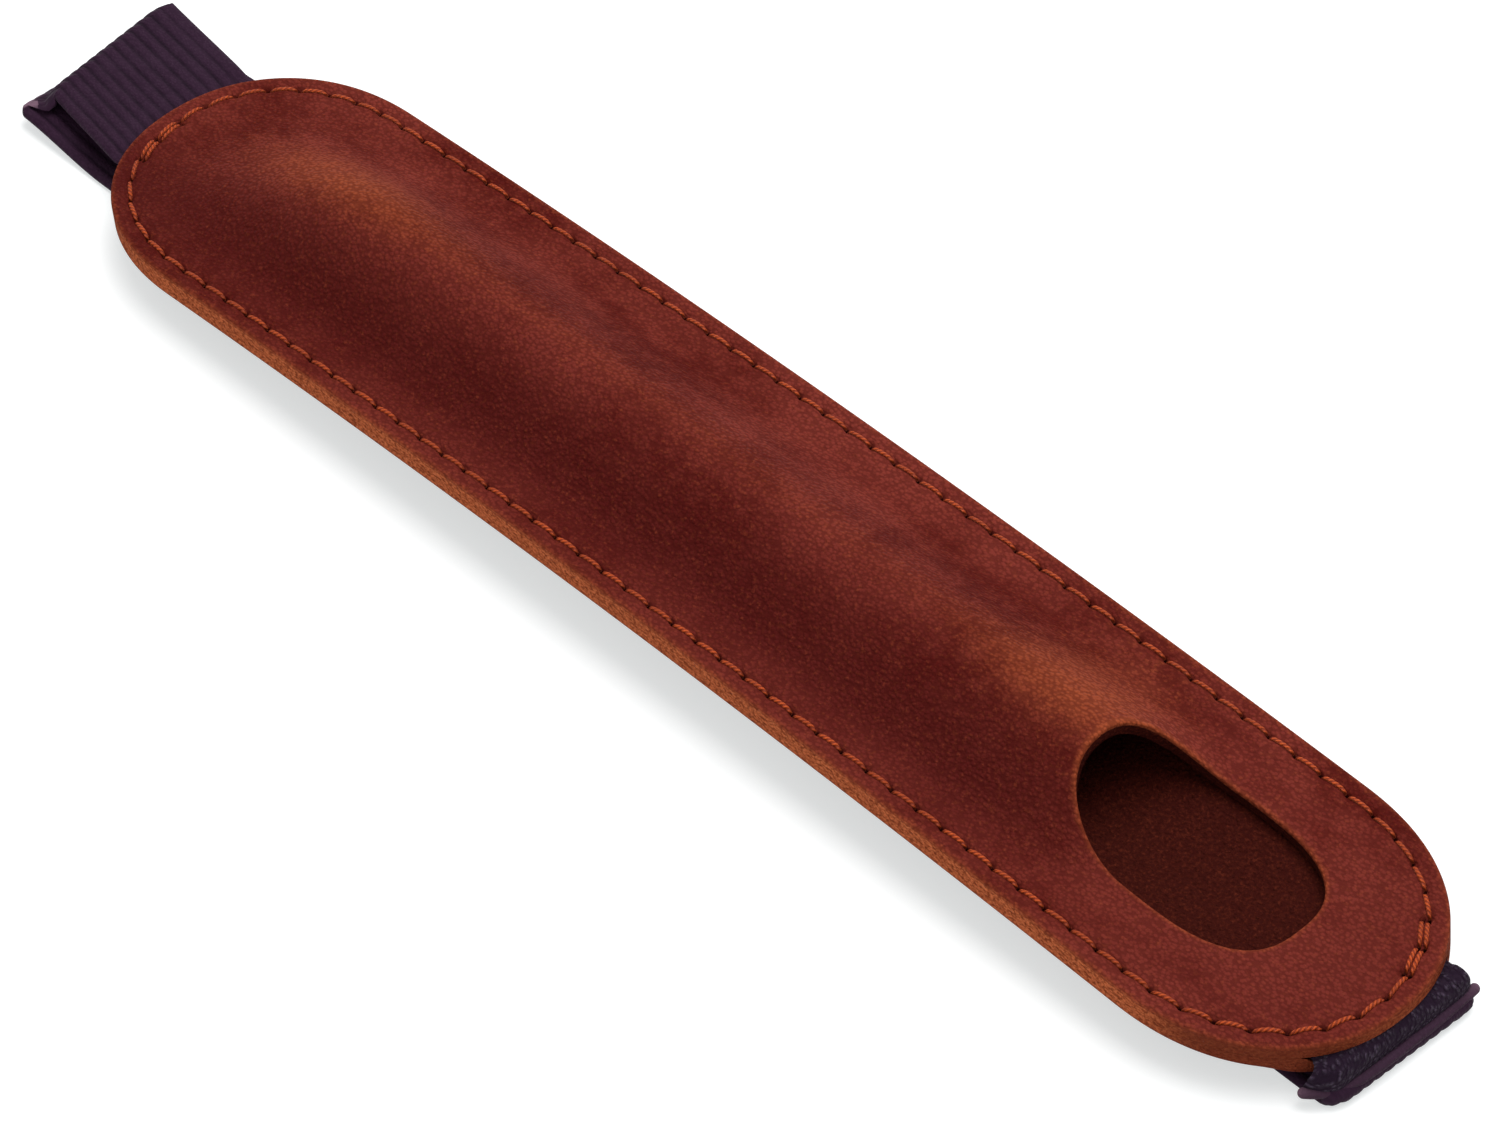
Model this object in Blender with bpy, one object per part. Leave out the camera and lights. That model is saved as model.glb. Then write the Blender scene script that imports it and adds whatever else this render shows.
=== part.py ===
"""Leather sleeve with a moulded pocket, held on a notebook or tablet cover by an elastic strap.

A moulded front leather and a plain back leather are sewn together round their whole rim. The pocket
is the bulge between them, and the window of the front is its way in. One ribbed elastic strap is
sewn in at both ends and runs behind the back leather, where it also carries the sleeve on a table.
Units are metres, +Z is up, X runs along the sleeve with the window towards +X, and the origin is
on the table, under the middle of the sleeve.
"""
import math

import bmesh
import bpy
from mathutils import Vector

MM = 0.001

# Leather sleeve
SLEEVE_LENGTH = 200.0 * MM
SLEEVE_WIDTH = 37.6 * MM
END_LENGTH = 22.9 * MM
END_SQUARENESS = 2.16
FRONT_THICKNESS = 1.6 * MM
BACK_THICKNESS = 1.6 * MM
EDGE_WEAR = 0.45 * MM
ARCH_RISE = 3.3 * MM

# Pocket, between the two leathers
POCKET_HEIGHT = 9.4 * MM
POCKET_FLOOR_RISE = 0.4 * MM
POCKET_TAIL_MARGIN = 6.0 * MM
POCKET_TAIL_LENGTH = 36.0 * MM
POCKET_MOUTH_FALL = 11.0 * MM
POCKET_RING_SHARES = (0.16, 0.33, 0.5, 0.67, 0.84)
FLOOR_RING_SHARES = (0.2, 0.4, 0.6, 0.8)

# Window in the front leather
WINDOW_LENGTH = 28.5 * MM
WINDOW_WIDTH = 17.5 * MM
WINDOW_MARGIN = 14.4 * MM
WINDOW_SQUARENESS = 2.7
WINDOW_POINTS = 40

# Seam round the rim
SEAM_MARGIN = 2.2 * MM
SEAM_LAND = 1.0 * MM
STITCH_PITCH = 3.83 * MM
THREAD_DIAMETER = 0.7 * MM
THREAD_SIDES = 4
THREAD_WAIST_SHARE = 0.6
STITCH_CROWN_SHARES = (0.3, 0.7)
GROOVE_DEPTH = 0.7 * MM
GROOVE_SLOPE = 0.25 * MM
LOCK_STITCHES = 2
TOP_LOCK_REACH = 7.7 * MM
BOTTOM_LOCK_REACH = 3.8 * MM

# Elastic strap
STRAP_WIDTH = 20.5 * MM
STRAP_THICKNESS = 1.2 * MM
STRAP_RIBS = 13
RIB_RELIEF = 0.25 * MM
TAB_LENGTH = 10.0 * MM
TAB_RAMP = 4.0 * MM
TOP_TAB_SHIFT = 1.7 * MM
TOP_FOLD_SHIFT = 4.2 * MM
TOP_FOLD_LEAN = 0.8 * MM
BACK_FOLD_SHIFT = 1.0 * MM
BACK_TOP_SHIFT = 0.7 * MM
BACK_BOTTOM_SHIFT = -0.8 * MM
BOTTOM_TAB_SHIFT = -2.2 * MM
TOP_LOOP_REACH = 17.0 * MM
TOP_LOOP_OPENING = 1.1 * MM
TOP_LOOP_LIFT = 1.3 * MM
TOP_LEG = 13.0 * MM
BOTTOM_LOOP_REACH = 1.4 * MM
BOTTOM_LEG = 5.0 * MM
BEAD_RISE = 0.5 * MM
BEAD_EARS = 1.2 * MM
BEAD_LEAN = 1.0 * MM
TURN_STEPS = 8

# Running values shared by all pieces
GAP = 0.3 * MM
TAB_CLEARANCE = 0.25 * MM
OVERRUN = 2.0 * MM
MERGE = 0.001 * MM
SLOPE_STEP = 0.05 * MM
CURVE_STEPS = 96

# Heights that follow from the stack of strap, thread and leather at the two ends
THREAD_PROUD = GAP + THREAD_DIAMETER - GROOVE_DEPTH
TAB_DROP = STRAP_THICKNESS + GAP
SEAM_LEVEL = STRAP_THICKNESS + GAP + THREAD_PROUD + BACK_THICKNESS + TAB_DROP + GAP

# Places that follow from the sleeve's own sizes
HALF_LENGTH = SLEEVE_LENGTH / 2
HALF_WIDTH = SLEEVE_WIDTH / 2
SPINE_REACH = HALF_LENGTH - END_LENGTH
WINDOW_END = HALF_LENGTH - WINDOW_MARGIN
WINDOW_CENTRE = WINDOW_END - WINDOW_LENGTH / 2
POCKET_MOUTH = WINDOW_END - WINDOW_LENGTH
TAB_REACH = HALF_LENGTH - TAB_LENGTH
TAB_MIDDLE = HALF_LENGTH - TAB_LENGTH / 2
STRAP_HALF = STRAP_WIDTH / 2
STRAP_LOW = STRAP_THICKNESS / 2
TOP_TURN_RADIUS = (STRAP_THICKNESS + TOP_LOOP_OPENING) / 2
TOP_FOLD = TOP_TURN_RADIUS + STRAP_LOW - HALF_LENGTH - TOP_LOOP_REACH
GROOVE_FLOOR_HALF = THREAD_DIAMETER / 2 + GAP
GROOVE_TOP_HALF = GROOVE_FLOOR_HALF + GROOVE_SLOPE
LOCK_OFFSET = THREAD_DIAMETER + GAP
POCKET_FOOT = SEAM_MARGIN + GROOVE_TOP_HALF + LOCK_OFFSET + SEAM_LAND
POCKET_SPREAD = HALF_WIDTH - POCKET_FOOT


def clear_scene():
    for item in list(bpy.data.objects):
        bpy.data.objects.remove(item, do_unlink=True)


def material(name, colour, roughness):
    """A plain Principled finish in the colour of the piece."""
    finish = bpy.data.materials.new(name)
    finish.use_nodes = True
    shader = finish.node_tree.nodes["Principled BSDF"]
    shader.inputs["Base Color"].default_value = (*colour, 1.0)
    shader.inputs["Roughness"].default_value = roughness
    shader.inputs["Metallic"].default_value = 0.0
    return finish


def add_object(name, mesh_data, finish, parent):
    mesh = bpy.data.meshes.new(name)
    mesh_data.to_mesh(mesh)
    mesh_data.free()
    mesh.materials.append(finish)
    piece = bpy.data.objects.new(name, mesh)
    piece.parent = parent
    bpy.context.scene.collection.objects.link(piece)
    return piece


def add_empty(name, place):
    empty = bpy.data.objects.new(name, None)
    empty.location = place
    bpy.context.scene.collection.objects.link(empty)
    return empty


def smooth(value):
    """Ease from 0 to 1 with level ends."""
    value = min(1.0, max(0.0, value))
    return value * value * (3 - 2 * value)


def mix(start, end, share):
    return start + (end - start) * share


def skin(rings, capped=False):
    """Join closed rings of equally many points with quads, and cap the two ends where asked."""
    shape = bmesh.new()
    loops = [[shape.verts.new(point) for point in ring] for ring in rings]
    count = len(loops[0])
    for near, far in zip(loops, loops[1:]):
        for index in range(count):
            following = (index + 1) % count
            shape.faces.new((near[index], near[following], far[following], far[index]))
    if capped:
        shape.faces.new(loops[0])
        shape.faces.new(loops[-1])
    bmesh.ops.remove_doubles(shape, verts=shape.verts, dist=MERGE)
    bmesh.ops.recalc_face_normals(shape, faces=shape.faces)
    return shape


def half_outline():
    """Fine points and outward normals of the rim, from the +X tip over +Y to the -X tip."""
    power = 2 / END_SQUARENESS
    end = []
    for step in range(CURVE_STEPS + 1):
        angle = math.pi / 2 * step / CURVE_STEPS
        reach = END_LENGTH * math.cos(angle) ** power if step < CURVE_STEPS else 0.0
        end.append(Vector((SPINE_REACH + reach, HALF_WIDTH * math.sin(angle) ** power)))
    side = [end[-1].lerp(Vector((0, HALF_WIDTH)), step / CURVE_STEPS) for step in range(1, CURVE_STEPS)]
    right = end + side
    left = [Vector((-point.x, point.y)) for point in reversed(right)]
    points = right + [Vector((0, HALF_WIDTH))] + left
    normals = []
    for index, point in enumerate(points):
        before = points[index - 1] if index else Vector((point.x, -points[1].y))
        after = points[index + 1] if index + 1 < len(points) else Vector((point.x, -points[-2].y))
        along = (after - before).normalized()
        normals.append(Vector((along.y, -along.x)))
    normals[0] = Vector((1, 0))
    normals[-1] = Vector((-1, 0))
    return points, normals


def seam_columns():
    """Evenly spaced stitch holes round the seam, each with its outward normal."""
    rim, normals = half_outline()
    line = [point - normal * SEAM_MARGIN for point, normal in zip(rim, normals)]
    reach = [0.0]
    for near, far in zip(line, line[1:]):
        reach.append(reach[-1] + (far - near).length)
    count = round(reach[-1] / STITCH_PITCH)
    columns = []
    at = 0
    for step in range(count + 1):
        wanted = reach[-1] * step / count
        while at < len(reach) - 2 and reach[at + 1] < wanted:
            at += 1
        share = (wanted - reach[at]) / (reach[at + 1] - reach[at])
        place = line[at].lerp(line[at + 1], share)
        normal = normals[at].lerp(normals[at + 1], share).normalized()
        columns.append((place, normal))
    columns[0] = (Vector((columns[0][0].x, 0)), Vector((1, 0)))
    columns[-1] = (Vector((columns[-1][0].x, 0)), Vector((-1, 0)))
    mirrored = [(Vector((place.x, -place.y)), Vector((normal.x, -normal.y)))
                for place, normal in reversed(columns[1:-1])]
    return columns + mirrored


COLUMNS = seam_columns()


def arch(x):
    """The strap pulls the two ends down, so the middle of the sleeve stands higher."""
    return ARCH_RISE * (1 - (x / HALF_LENGTH) ** 2)


def bell(y):
    """Cross-section of the pocket's bulge: 1 at the crest, 0 at its foot."""
    return math.cos(math.pi / 2 * min(1.0, abs(y) / POCKET_SPREAD)) ** 2


def front_underside(x, y):
    """Height of the front leather's flesh side, in the sleeve's datum."""
    tail = smooth((x + HALF_LENGTH - POCKET_TAIL_MARGIN) / POCKET_TAIL_LENGTH)
    mouth = 1 - smooth((x - POCKET_MOUTH) / POCKET_MOUTH_FALL)
    crest = POCKET_HEIGHT + POCKET_FLOOR_RISE - arch(x) - GAP
    return arch(x) + crest * tail * mouth * bell(y)


def tab_drop(x, y):
    """How far the back leather is pushed down by the strap's sewn-in tab."""
    shift = BOTTOM_TAB_SHIFT if x > 0 else TOP_TAB_SHIFT
    along = smooth((abs(x) - TAB_REACH + TAB_RAMP) / TAB_RAMP)
    across = 1 - smooth((abs(y - shift) - STRAP_HALF - GAP) / TAB_RAMP)
    return TAB_DROP * along * across


def back_top(x, y):
    """Height of the back leather's upper face, with the trough that is the pocket's floor."""
    trough = max(0.0, arch(x) - POCKET_FLOOR_RISE) * bell(y)
    return arch(x) - GAP - trough - tab_drop(x, y)


def surface_point(height, x, y, offset):
    """A point that lies off a height field by an offset along its normal."""
    slope_x = (height(x + SLOPE_STEP, y) - height(x - SLOPE_STEP, y)) / (2 * SLOPE_STEP)
    slope_y = (height(x, y + SLOPE_STEP) - height(x, y - SLOPE_STEP)) / (2 * SLOPE_STEP)
    normal = Vector((-slope_x, -slope_y, 1)).normalized()
    return Vector((x, y, height(x, y))) + normal * offset


def inset_ring(inset):
    """Plan points of the ring that lies a distance inside the rim."""
    return [place + normal * (SEAM_MARGIN - inset) for place, normal in COLUMNS]


def pocket_ring(share):
    """Plan points between the foot of the bulge and the sleeve's middle line."""
    ring = []
    for point in inset_ring(POCKET_FOOT):
        spine = Vector((max(-SPINE_REACH, min(SPINE_REACH, point.x)), 0))
        ring.append(point.lerp(spine, share))
    return ring


def lock_columns():
    """Numbers of the stitches that are sewn twice, one list for each end of the sleeve."""
    total = len(COLUMNS)
    bottom = round(BOTTOM_LOCK_REACH / STITCH_PITCH)
    top = total // 2 + round(TOP_LOCK_REACH / STITCH_PITCH) - LOCK_STITCHES
    return [[(first + step) % total for step in range(LOCK_STITCHES + 1)] for first in (bottom, top)]


def groove_rings(height, offset, sign):
    """The stitch groove: two shoulders and a floor, wider where stitches are doubled."""
    doubled = {column for group in lock_columns() for column in group}
    edges = ((-GROOVE_TOP_HALF, 0.0), (-GROOVE_FLOOR_HALF, GROOVE_DEPTH),
             (GROOVE_FLOOR_HALF, GROOVE_DEPTH), (GROOVE_TOP_HALF, 0.0))
    rings = []
    for across, depth in edges:
        ring = []
        for column, (place, normal) in enumerate(COLUMNS):
            extra = LOCK_OFFSET if across > 0 and column in doubled else 0.0
            point = place - normal * (across + extra)
            ring.append(surface_point(height, point.x, point.y, offset - sign * depth))
        rings.append(ring)
    return rings


def lay(height, ring, offset=0.0):
    return [surface_point(height, point.x, point.y, offset) for point in ring]


def window_cutter(parent):
    """An upright oval that goes right through the front leather."""
    power = 2 / WINDOW_SQUARENESS
    outline = []
    for step in range(WINDOW_POINTS):
        angle = math.tau * step / WINDOW_POINTS
        along = math.copysign(abs(math.cos(angle)) ** power, math.cos(angle))
        across = math.copysign(abs(math.sin(angle)) ** power, math.sin(angle))
        outline.append((WINDOW_CENTRE + WINDOW_LENGTH / 2 * along, WINDOW_WIDTH / 2 * across))
    top = POCKET_HEIGHT + POCKET_FLOOR_RISE + FRONT_THICKNESS + OVERRUN
    rings = [[(x, y, z) for x, y in outline] for z in (-OVERRUN, top)]
    cutter = add_object("window_cutter", skin(rings, capped=True), material("cutter", (1, 1, 1), 1.0), parent)
    cutter.hide_render = True
    cutter.display_type = "WIRE"
    return cutter


def cut(piece, cutter):
    boolean = piece.modifiers.new("cut", "BOOLEAN")
    boolean.operation = "DIFFERENCE"
    boolean.solver = "EXACT"
    boolean.object = cutter


def front_panel(finish, parent):
    """Moulded front leather: flat rim, stitch groove, the pocket's long bulge and the window."""
    under = [lay(front_underside, pocket_ring(1.0))]
    under += [lay(front_underside, pocket_ring(share)) for share in reversed(POCKET_RING_SHARES)]
    under += [lay(front_underside, inset_ring(POCKET_FOOT)), lay(front_underside, inset_ring(0.0))]
    rim = [lay(front_underside, inset_ring(0.0), FRONT_THICKNESS - EDGE_WEAR),
           lay(front_underside, inset_ring(EDGE_WEAR), FRONT_THICKNESS)]
    groove = groove_rings(front_underside, FRONT_THICKNESS, 1)
    over = [lay(front_underside, inset_ring(POCKET_FOOT), FRONT_THICKNESS)]
    over += [lay(front_underside, pocket_ring(share), FRONT_THICKNESS) for share in POCKET_RING_SHARES]
    over += [lay(front_underside, pocket_ring(1.0), FRONT_THICKNESS)]
    panel = add_object("front_panel", skin(under + rim + groove + over), finish, parent)
    cut(panel, window_cutter(parent))
    return panel


def tab_cutter(name, side, shift, parent):
    """Room for the strap's tab where the back leather ramps down to it."""
    half = STRAP_HALF + TAB_CLEARANCE
    rings = []
    for x in (TAB_REACH - TAB_CLEARANCE, TAB_MIDDLE, HALF_LENGTH + OVERRUN):
        floor = arch(x) - TAB_DROP - TAB_CLEARANCE
        corners = ((shift - half, floor), (shift + half, floor),
                   (shift + half, floor + OVERRUN), (shift - half, floor + OVERRUN))
        rings.append([(side * x, y, z) for y, z in corners])
    cutter = add_object(name, skin(rings, capped=True), material("cutter", (1, 1, 1), 1.0), parent)
    cutter.hide_render = True
    cutter.display_type = "WIRE"
    return cutter


def back_panel(finish, parent):
    """Plain back leather, pressed down along the pocket and by the strap's two tabs."""
    over = [lay(back_top, pocket_ring(1.0))]
    over += [lay(back_top, pocket_ring(share)) for share in reversed(FLOOR_RING_SHARES)]
    over += [lay(back_top, inset_ring(POCKET_FOOT)), lay(back_top, inset_ring(0.0))]
    rim = [lay(back_top, inset_ring(0.0), EDGE_WEAR - BACK_THICKNESS),
           lay(back_top, inset_ring(EDGE_WEAR), -BACK_THICKNESS)]
    groove = groove_rings(back_top, -BACK_THICKNESS, -1)
    under = [lay(back_top, inset_ring(POCKET_FOOT), -BACK_THICKNESS)]
    under += [lay(back_top, pocket_ring(share), -BACK_THICKNESS) for share in FLOOR_RING_SHARES]
    under += [lay(back_top, pocket_ring(1.0), -BACK_THICKNESS)]
    panel = add_object("back_panel", skin(over + rim + groove + under), finish, parent)
    cut(panel, tab_cutter("top_tab_cutter", -1, TOP_TAB_SHIFT, parent))
    cut(panel, tab_cutter("bottom_tab_cutter", 1, BOTTOM_TAB_SHIFT, parent))
    return panel


def thread_ring(centre, across, radius):
    ring = []
    for side in range(THREAD_SIDES):
        angle = math.tau * side / THREAD_SIDES
        lift = Vector((0, 0, 1)) * math.sin(angle)
        ring.append(centre + (across * math.cos(angle) + lift) * radius)
    return ring


def thread_rings(numbers, height, offset, sign, inward):
    """A thread along the numbered stitch holes: thin where it dips, full between them."""
    crown = THREAD_DIAMETER / 2
    waist = crown * THREAD_WAIST_SHARE
    stations = []
    for number in numbers:
        place, normal = COLUMNS[number]
        point = place - normal * inward
        floor = surface_point(height, point.x, point.y, offset - sign * GROOVE_DEPTH)
        stations.append((floor, Vector((normal.x, normal.y, 0))))
    steps = [(0.0, waist)] + [(share, crown) for share in STITCH_CROWN_SHARES]
    rings = []
    for (floor, across), (next_floor, next_across) in zip(stations, stations[1:]):
        for share, radius in steps:
            centre = floor.lerp(next_floor, share) + Vector((0, 0, sign * (GAP + radius)))
            rings.append(thread_ring(centre, across.lerp(next_across, share), radius))
    end_floor, end_across = stations[-1]
    rings.append(thread_ring(end_floor + Vector((0, 0, sign * (GAP + waist))), end_across, waist))
    return rings


def seam_thread(name, height, offset, sign, finish, parent):
    """One unbroken thread round the whole seam."""
    total = len(COLUMNS)
    numbers = [number % total for number in range(total + 1)]
    rings = thread_rings(numbers, height, offset, sign, 0.0)
    return add_object(name, skin(rings), finish, parent)


def lock_thread(name, numbers, height, offset, sign, finish, parent):
    """The short second row of stitches that locks one tab of the strap."""
    rings = thread_rings(numbers, height, offset, sign, LOCK_OFFSET)
    return add_object(name, skin(rings, capped=True), finish, parent)


def strap_section(half_width, swell):
    """Cross-section of the elastic as (across, through) pairs, with ribs on its outer face."""
    pitch = 2 * half_width / STRAP_RIBS
    crown = STRAP_LOW + swell
    section = [(-half_width, -STRAP_LOW), (half_width, -STRAP_LOW)]
    for rib in range(STRAP_RIBS):
        edge = half_width - rib * pitch
        section += [(edge, crown - RIB_RELIEF), (edge - pitch / 2, crown)]
    return section + [(-half_width, crown - RIB_RELIEF)]


def strap_skin(stations):
    """Sweep the section along stations of (x, z, y centre, half width, lean of the far edge, swell)."""
    rings = []
    for index, (x, z, centre, half_width, lean, swell) in enumerate(stations):
        before = stations[max(0, index - 1)]
        after = stations[min(len(stations) - 1, index + 1)]
        along = Vector((after[0] - before[0], after[1] - before[1])).normalized()
        outward = Vector((along.y, -along.x))
        rings.append([(x + outward.x * through + lean * across / STRAP_HALF, centre + across,
                       z + outward.y * through) for across, through in strap_section(half_width, swell)])
    return skin(rings, capped=True)


def tab_height(x):
    """Height above the table of the middle of a sewn-in tab."""
    return SEAM_LEVEL + arch(x) - GAP - STRAP_LOW


def strap_top_end(finish, parent):
    """Tab, long upper strand, fold and descending leg at the sleeve's closed end."""
    leg_height = STRAP_LOW + TOP_LOOP_LIFT
    middle = leg_height + TOP_TURN_RADIUS
    crown = middle + TOP_TURN_RADIUS
    start = tab_height(HALF_LENGTH)
    stations = [(-x, tab_height(x), TOP_TAB_SHIFT, STRAP_HALF, 0.0, 0.0)
                for x in (TAB_REACH, TAB_MIDDLE, HALF_LENGTH)]
    for step in range(1, TURN_STEPS):
        share = step / TURN_STEPS
        stations.append((mix(-HALF_LENGTH, TOP_FOLD, share), mix(start, crown, smooth(share)),
                         mix(TOP_TAB_SHIFT, TOP_FOLD_SHIFT, share), STRAP_HALF, -TOP_FOLD_LEAN * share, 0.0))
    for step in range(TURN_STEPS + 1):
        share = step / TURN_STEPS
        angle = math.pi * share
        stations.append((TOP_FOLD - TOP_TURN_RADIUS * math.sin(angle),
                         middle + TOP_TURN_RADIUS * math.cos(angle),
                         mix(TOP_FOLD_SHIFT, BACK_FOLD_SHIFT, smooth(share)), STRAP_HALF,
                         -TOP_FOLD_LEAN, 0.0))
    for step in range(1, TURN_STEPS + 1):
        share = step / TURN_STEPS
        stations.append((TOP_FOLD + TOP_LEG * share, mix(leg_height, STRAP_LOW, smooth(share)),
                         mix(BACK_FOLD_SHIFT, BACK_TOP_SHIFT, share), STRAP_HALF,
                         -TOP_FOLD_LEAN * (1 - share), 0.0))
    return add_object("strap_top_end", strap_skin(stations[::-1]), finish, parent)


def strap_bottom_end(finish, parent):
    """Tab and tight turn at the window end, folded a little askew, with a bead along its upper corner."""
    depth = BOTTOM_LOOP_REACH - STRAP_LOW
    corner_steps = TURN_STEPS // 2
    stations = [(x, tab_height(x), BOTTOM_TAB_SHIFT, STRAP_HALF, lean, 0.0)
                for x, lean in ((TAB_REACH, 0.0), (TAB_MIDDLE, 0.0), (HALF_LENGTH - GAP, BEAD_LEAN))]
    for corner, middle in enumerate((tab_height(HALF_LENGTH) - depth, STRAP_LOW + depth)):
        for step in range(corner_steps + 1):
            angle = math.pi / 2 * (corner + step / corner_steps)
            bead = 0.0 if corner else math.sin(2 * angle) ** 2
            stations.append((HALF_LENGTH + depth * math.sin(angle),
                             middle + depth * math.cos(angle),
                             mix(BOTTOM_TAB_SHIFT, BACK_BOTTOM_SHIFT, smooth(angle / math.pi)),
                             STRAP_HALF + BEAD_EARS * bead, BEAD_LEAN, BEAD_RISE * bead))
    stations.append((HALF_LENGTH - BOTTOM_LEG, STRAP_LOW, BACK_BOTTOM_SHIFT, STRAP_HALF, 0.0, 0.0))
    return add_object("strap_bottom_end", strap_skin(stations[::-1]), finish, parent)


def strap_back_strand(finish, parent):
    """The long stretch of strap behind the sleeve, which is pulled away over a cover."""
    ends = ((TOP_FOLD + TOP_LEG + GAP, BACK_TOP_SHIFT), (HALF_LENGTH - BOTTOM_LEG - GAP, BACK_BOTTOM_SHIFT))
    corners = ((-STRAP_HALF, -STRAP_LOW), (STRAP_HALF, -STRAP_LOW),
               (STRAP_HALF, STRAP_LOW), (-STRAP_HALF, STRAP_LOW))
    rings = [[(x, shift + across, through) for across, through in corners] for x, shift in ends]
    return add_object("strap_back_strand", skin(rings, capped=True), finish, parent)


def build():
    clear_scene()
    front_leather = material("front_leather", (0.20, 0.055, 0.035), 0.5)
    back_leather = material("back_leather", (0.14, 0.04, 0.025), 0.7)
    thread = material("thread", (0.42, 0.09, 0.02), 0.6)
    elastic = material("elastic", (0.045, 0.025, 0.04), 0.75)
    datum = add_empty("sleeve_datum", (0, 0, SEAM_LEVEL))
    table = add_empty("table_datum", (0, 0, 0))
    pull = add_empty("strap_pull_axis", (0, 0, STRAP_LOW))
    front_panel(front_leather, datum)
    back_panel(back_leather, datum)
    bottom_lock, top_lock = lock_columns()
    for side, height, offset, sign in (("needle", front_underside, FRONT_THICKNESS, 1),
                                       ("bobbin", back_top, -BACK_THICKNESS, -1)):
        seam_thread(side + "_thread", height, offset, sign, thread, datum)
        lock_thread("top_" + side + "_lock", top_lock, height, offset, sign, thread, datum)
        lock_thread("bottom_" + side + "_lock", bottom_lock, height, offset, sign, thread, datum)
    strap_top_end(elastic, table)
    strap_bottom_end(elastic, table)
    strap_back_strand(elastic, pull)


build()
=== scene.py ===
"""Looks of a leather sleeve with a moulded pocket, an oval window and an elastic strap."""
import math

import bpy
import numpy as np
from mathutils import Matrix, Vector


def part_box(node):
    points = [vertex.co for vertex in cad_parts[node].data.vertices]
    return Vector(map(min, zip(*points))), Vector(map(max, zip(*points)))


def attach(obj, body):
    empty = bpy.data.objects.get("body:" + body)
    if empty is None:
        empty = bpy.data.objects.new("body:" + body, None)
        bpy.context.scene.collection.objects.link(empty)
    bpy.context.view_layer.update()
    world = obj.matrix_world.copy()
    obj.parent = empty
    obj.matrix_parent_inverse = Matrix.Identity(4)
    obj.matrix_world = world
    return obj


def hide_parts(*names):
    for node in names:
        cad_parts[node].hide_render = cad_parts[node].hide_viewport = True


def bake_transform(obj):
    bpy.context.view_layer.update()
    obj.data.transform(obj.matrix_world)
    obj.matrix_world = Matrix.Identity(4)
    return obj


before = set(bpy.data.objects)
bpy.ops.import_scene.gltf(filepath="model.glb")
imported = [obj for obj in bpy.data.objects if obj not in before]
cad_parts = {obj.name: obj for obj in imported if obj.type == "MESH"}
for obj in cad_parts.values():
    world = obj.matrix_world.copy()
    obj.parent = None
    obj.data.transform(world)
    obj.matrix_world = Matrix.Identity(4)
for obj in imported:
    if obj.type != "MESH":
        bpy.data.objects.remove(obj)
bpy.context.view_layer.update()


# Camera. A long lens looks down on the sleeve from beyond its window end, on the near side, and is
# turned a little about its own axis.
MM = 0.001
CAMERA_PLACE = Vector((408.59, -321.03, 534.05)) * MM
CAMERA_AZIMUTH = math.radians(51.771)
CAMERA_ELEVATION = math.radians(45.823)
CAMERA_ROLL = math.radians(-6.168)
CAMERA_LENS = 161.57
CAMERA_SENSOR = 36.0
CAMERA_CLIP = 10 * MM

camera = bpy.data.objects.new("camera", bpy.data.cameras.new("camera"))
bpy.context.scene.collection.objects.link(camera)
bpy.context.scene.camera = camera
camera.data.sensor_fit = "HORIZONTAL"
camera.data.sensor_width = CAMERA_SENSOR
camera.data.lens = CAMERA_LENS
camera.data.clip_start = CAMERA_CLIP
backward = Vector((math.sin(CAMERA_AZIMUTH) * math.cos(CAMERA_ELEVATION),
                   -math.cos(CAMERA_AZIMUTH) * math.cos(CAMERA_ELEVATION),
                   math.sin(CAMERA_ELEVATION)))
level_right = (-backward).cross(Vector((0, 0, 1))).normalized()
right = Matrix.Rotation(-CAMERA_ROLL, 3, -backward) @ level_right
camera_axes = Matrix((right, backward.cross(right), backward)).transposed().to_4x4()
camera.matrix_world = Matrix.Translation(CAMERA_PLACE) @ camera_axes


# Floor. A plain white sheet that keeps the sleeve's soft shadow. The strap stays on it when the
# sleeve and the strap are pulled apart, so the sheet rides with the strap.
FLOOR_SIZE = 4000 * MM
FLOOR_WHITE = (0.9, 0.9, 0.9)
FLOOR_ROUGHNESS = 0.9
GLOW_WHITE = (0.97, 1.0, 1.0)
GLOW_STRENGTH = 1.6
GLOW_SHARE = 0.36


class Value:
    """A socket of a finish that can be used in sums."""

    def __init__(self, finish, socket):
        self.finish = finish
        self.socket = socket

    def math(self, operation, first, second):
        return self.finish.node("ShaderNodeMath", {0: first, 1: second}, operation=operation)

    def __add__(self, other):
        return self.math("ADD", self, other)

    def __sub__(self, other):
        return self.math("SUBTRACT", self, other)

    def __rsub__(self, other):
        return self.math("SUBTRACT", other, self)

    def __mul__(self, other):
        return self.math("MULTIPLY", self, other)

    __radd__ = __add__
    __rmul__ = __mul__

    def between(self, low, high):
        """Rises smoothly from 0 at low to 1 at high."""
        return self.finish.node("ShaderNodeMapRange", {"Value": self, "From Min": low, "From Max": high},
                                interpolation_type="SMOOTHSTEP")


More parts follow.
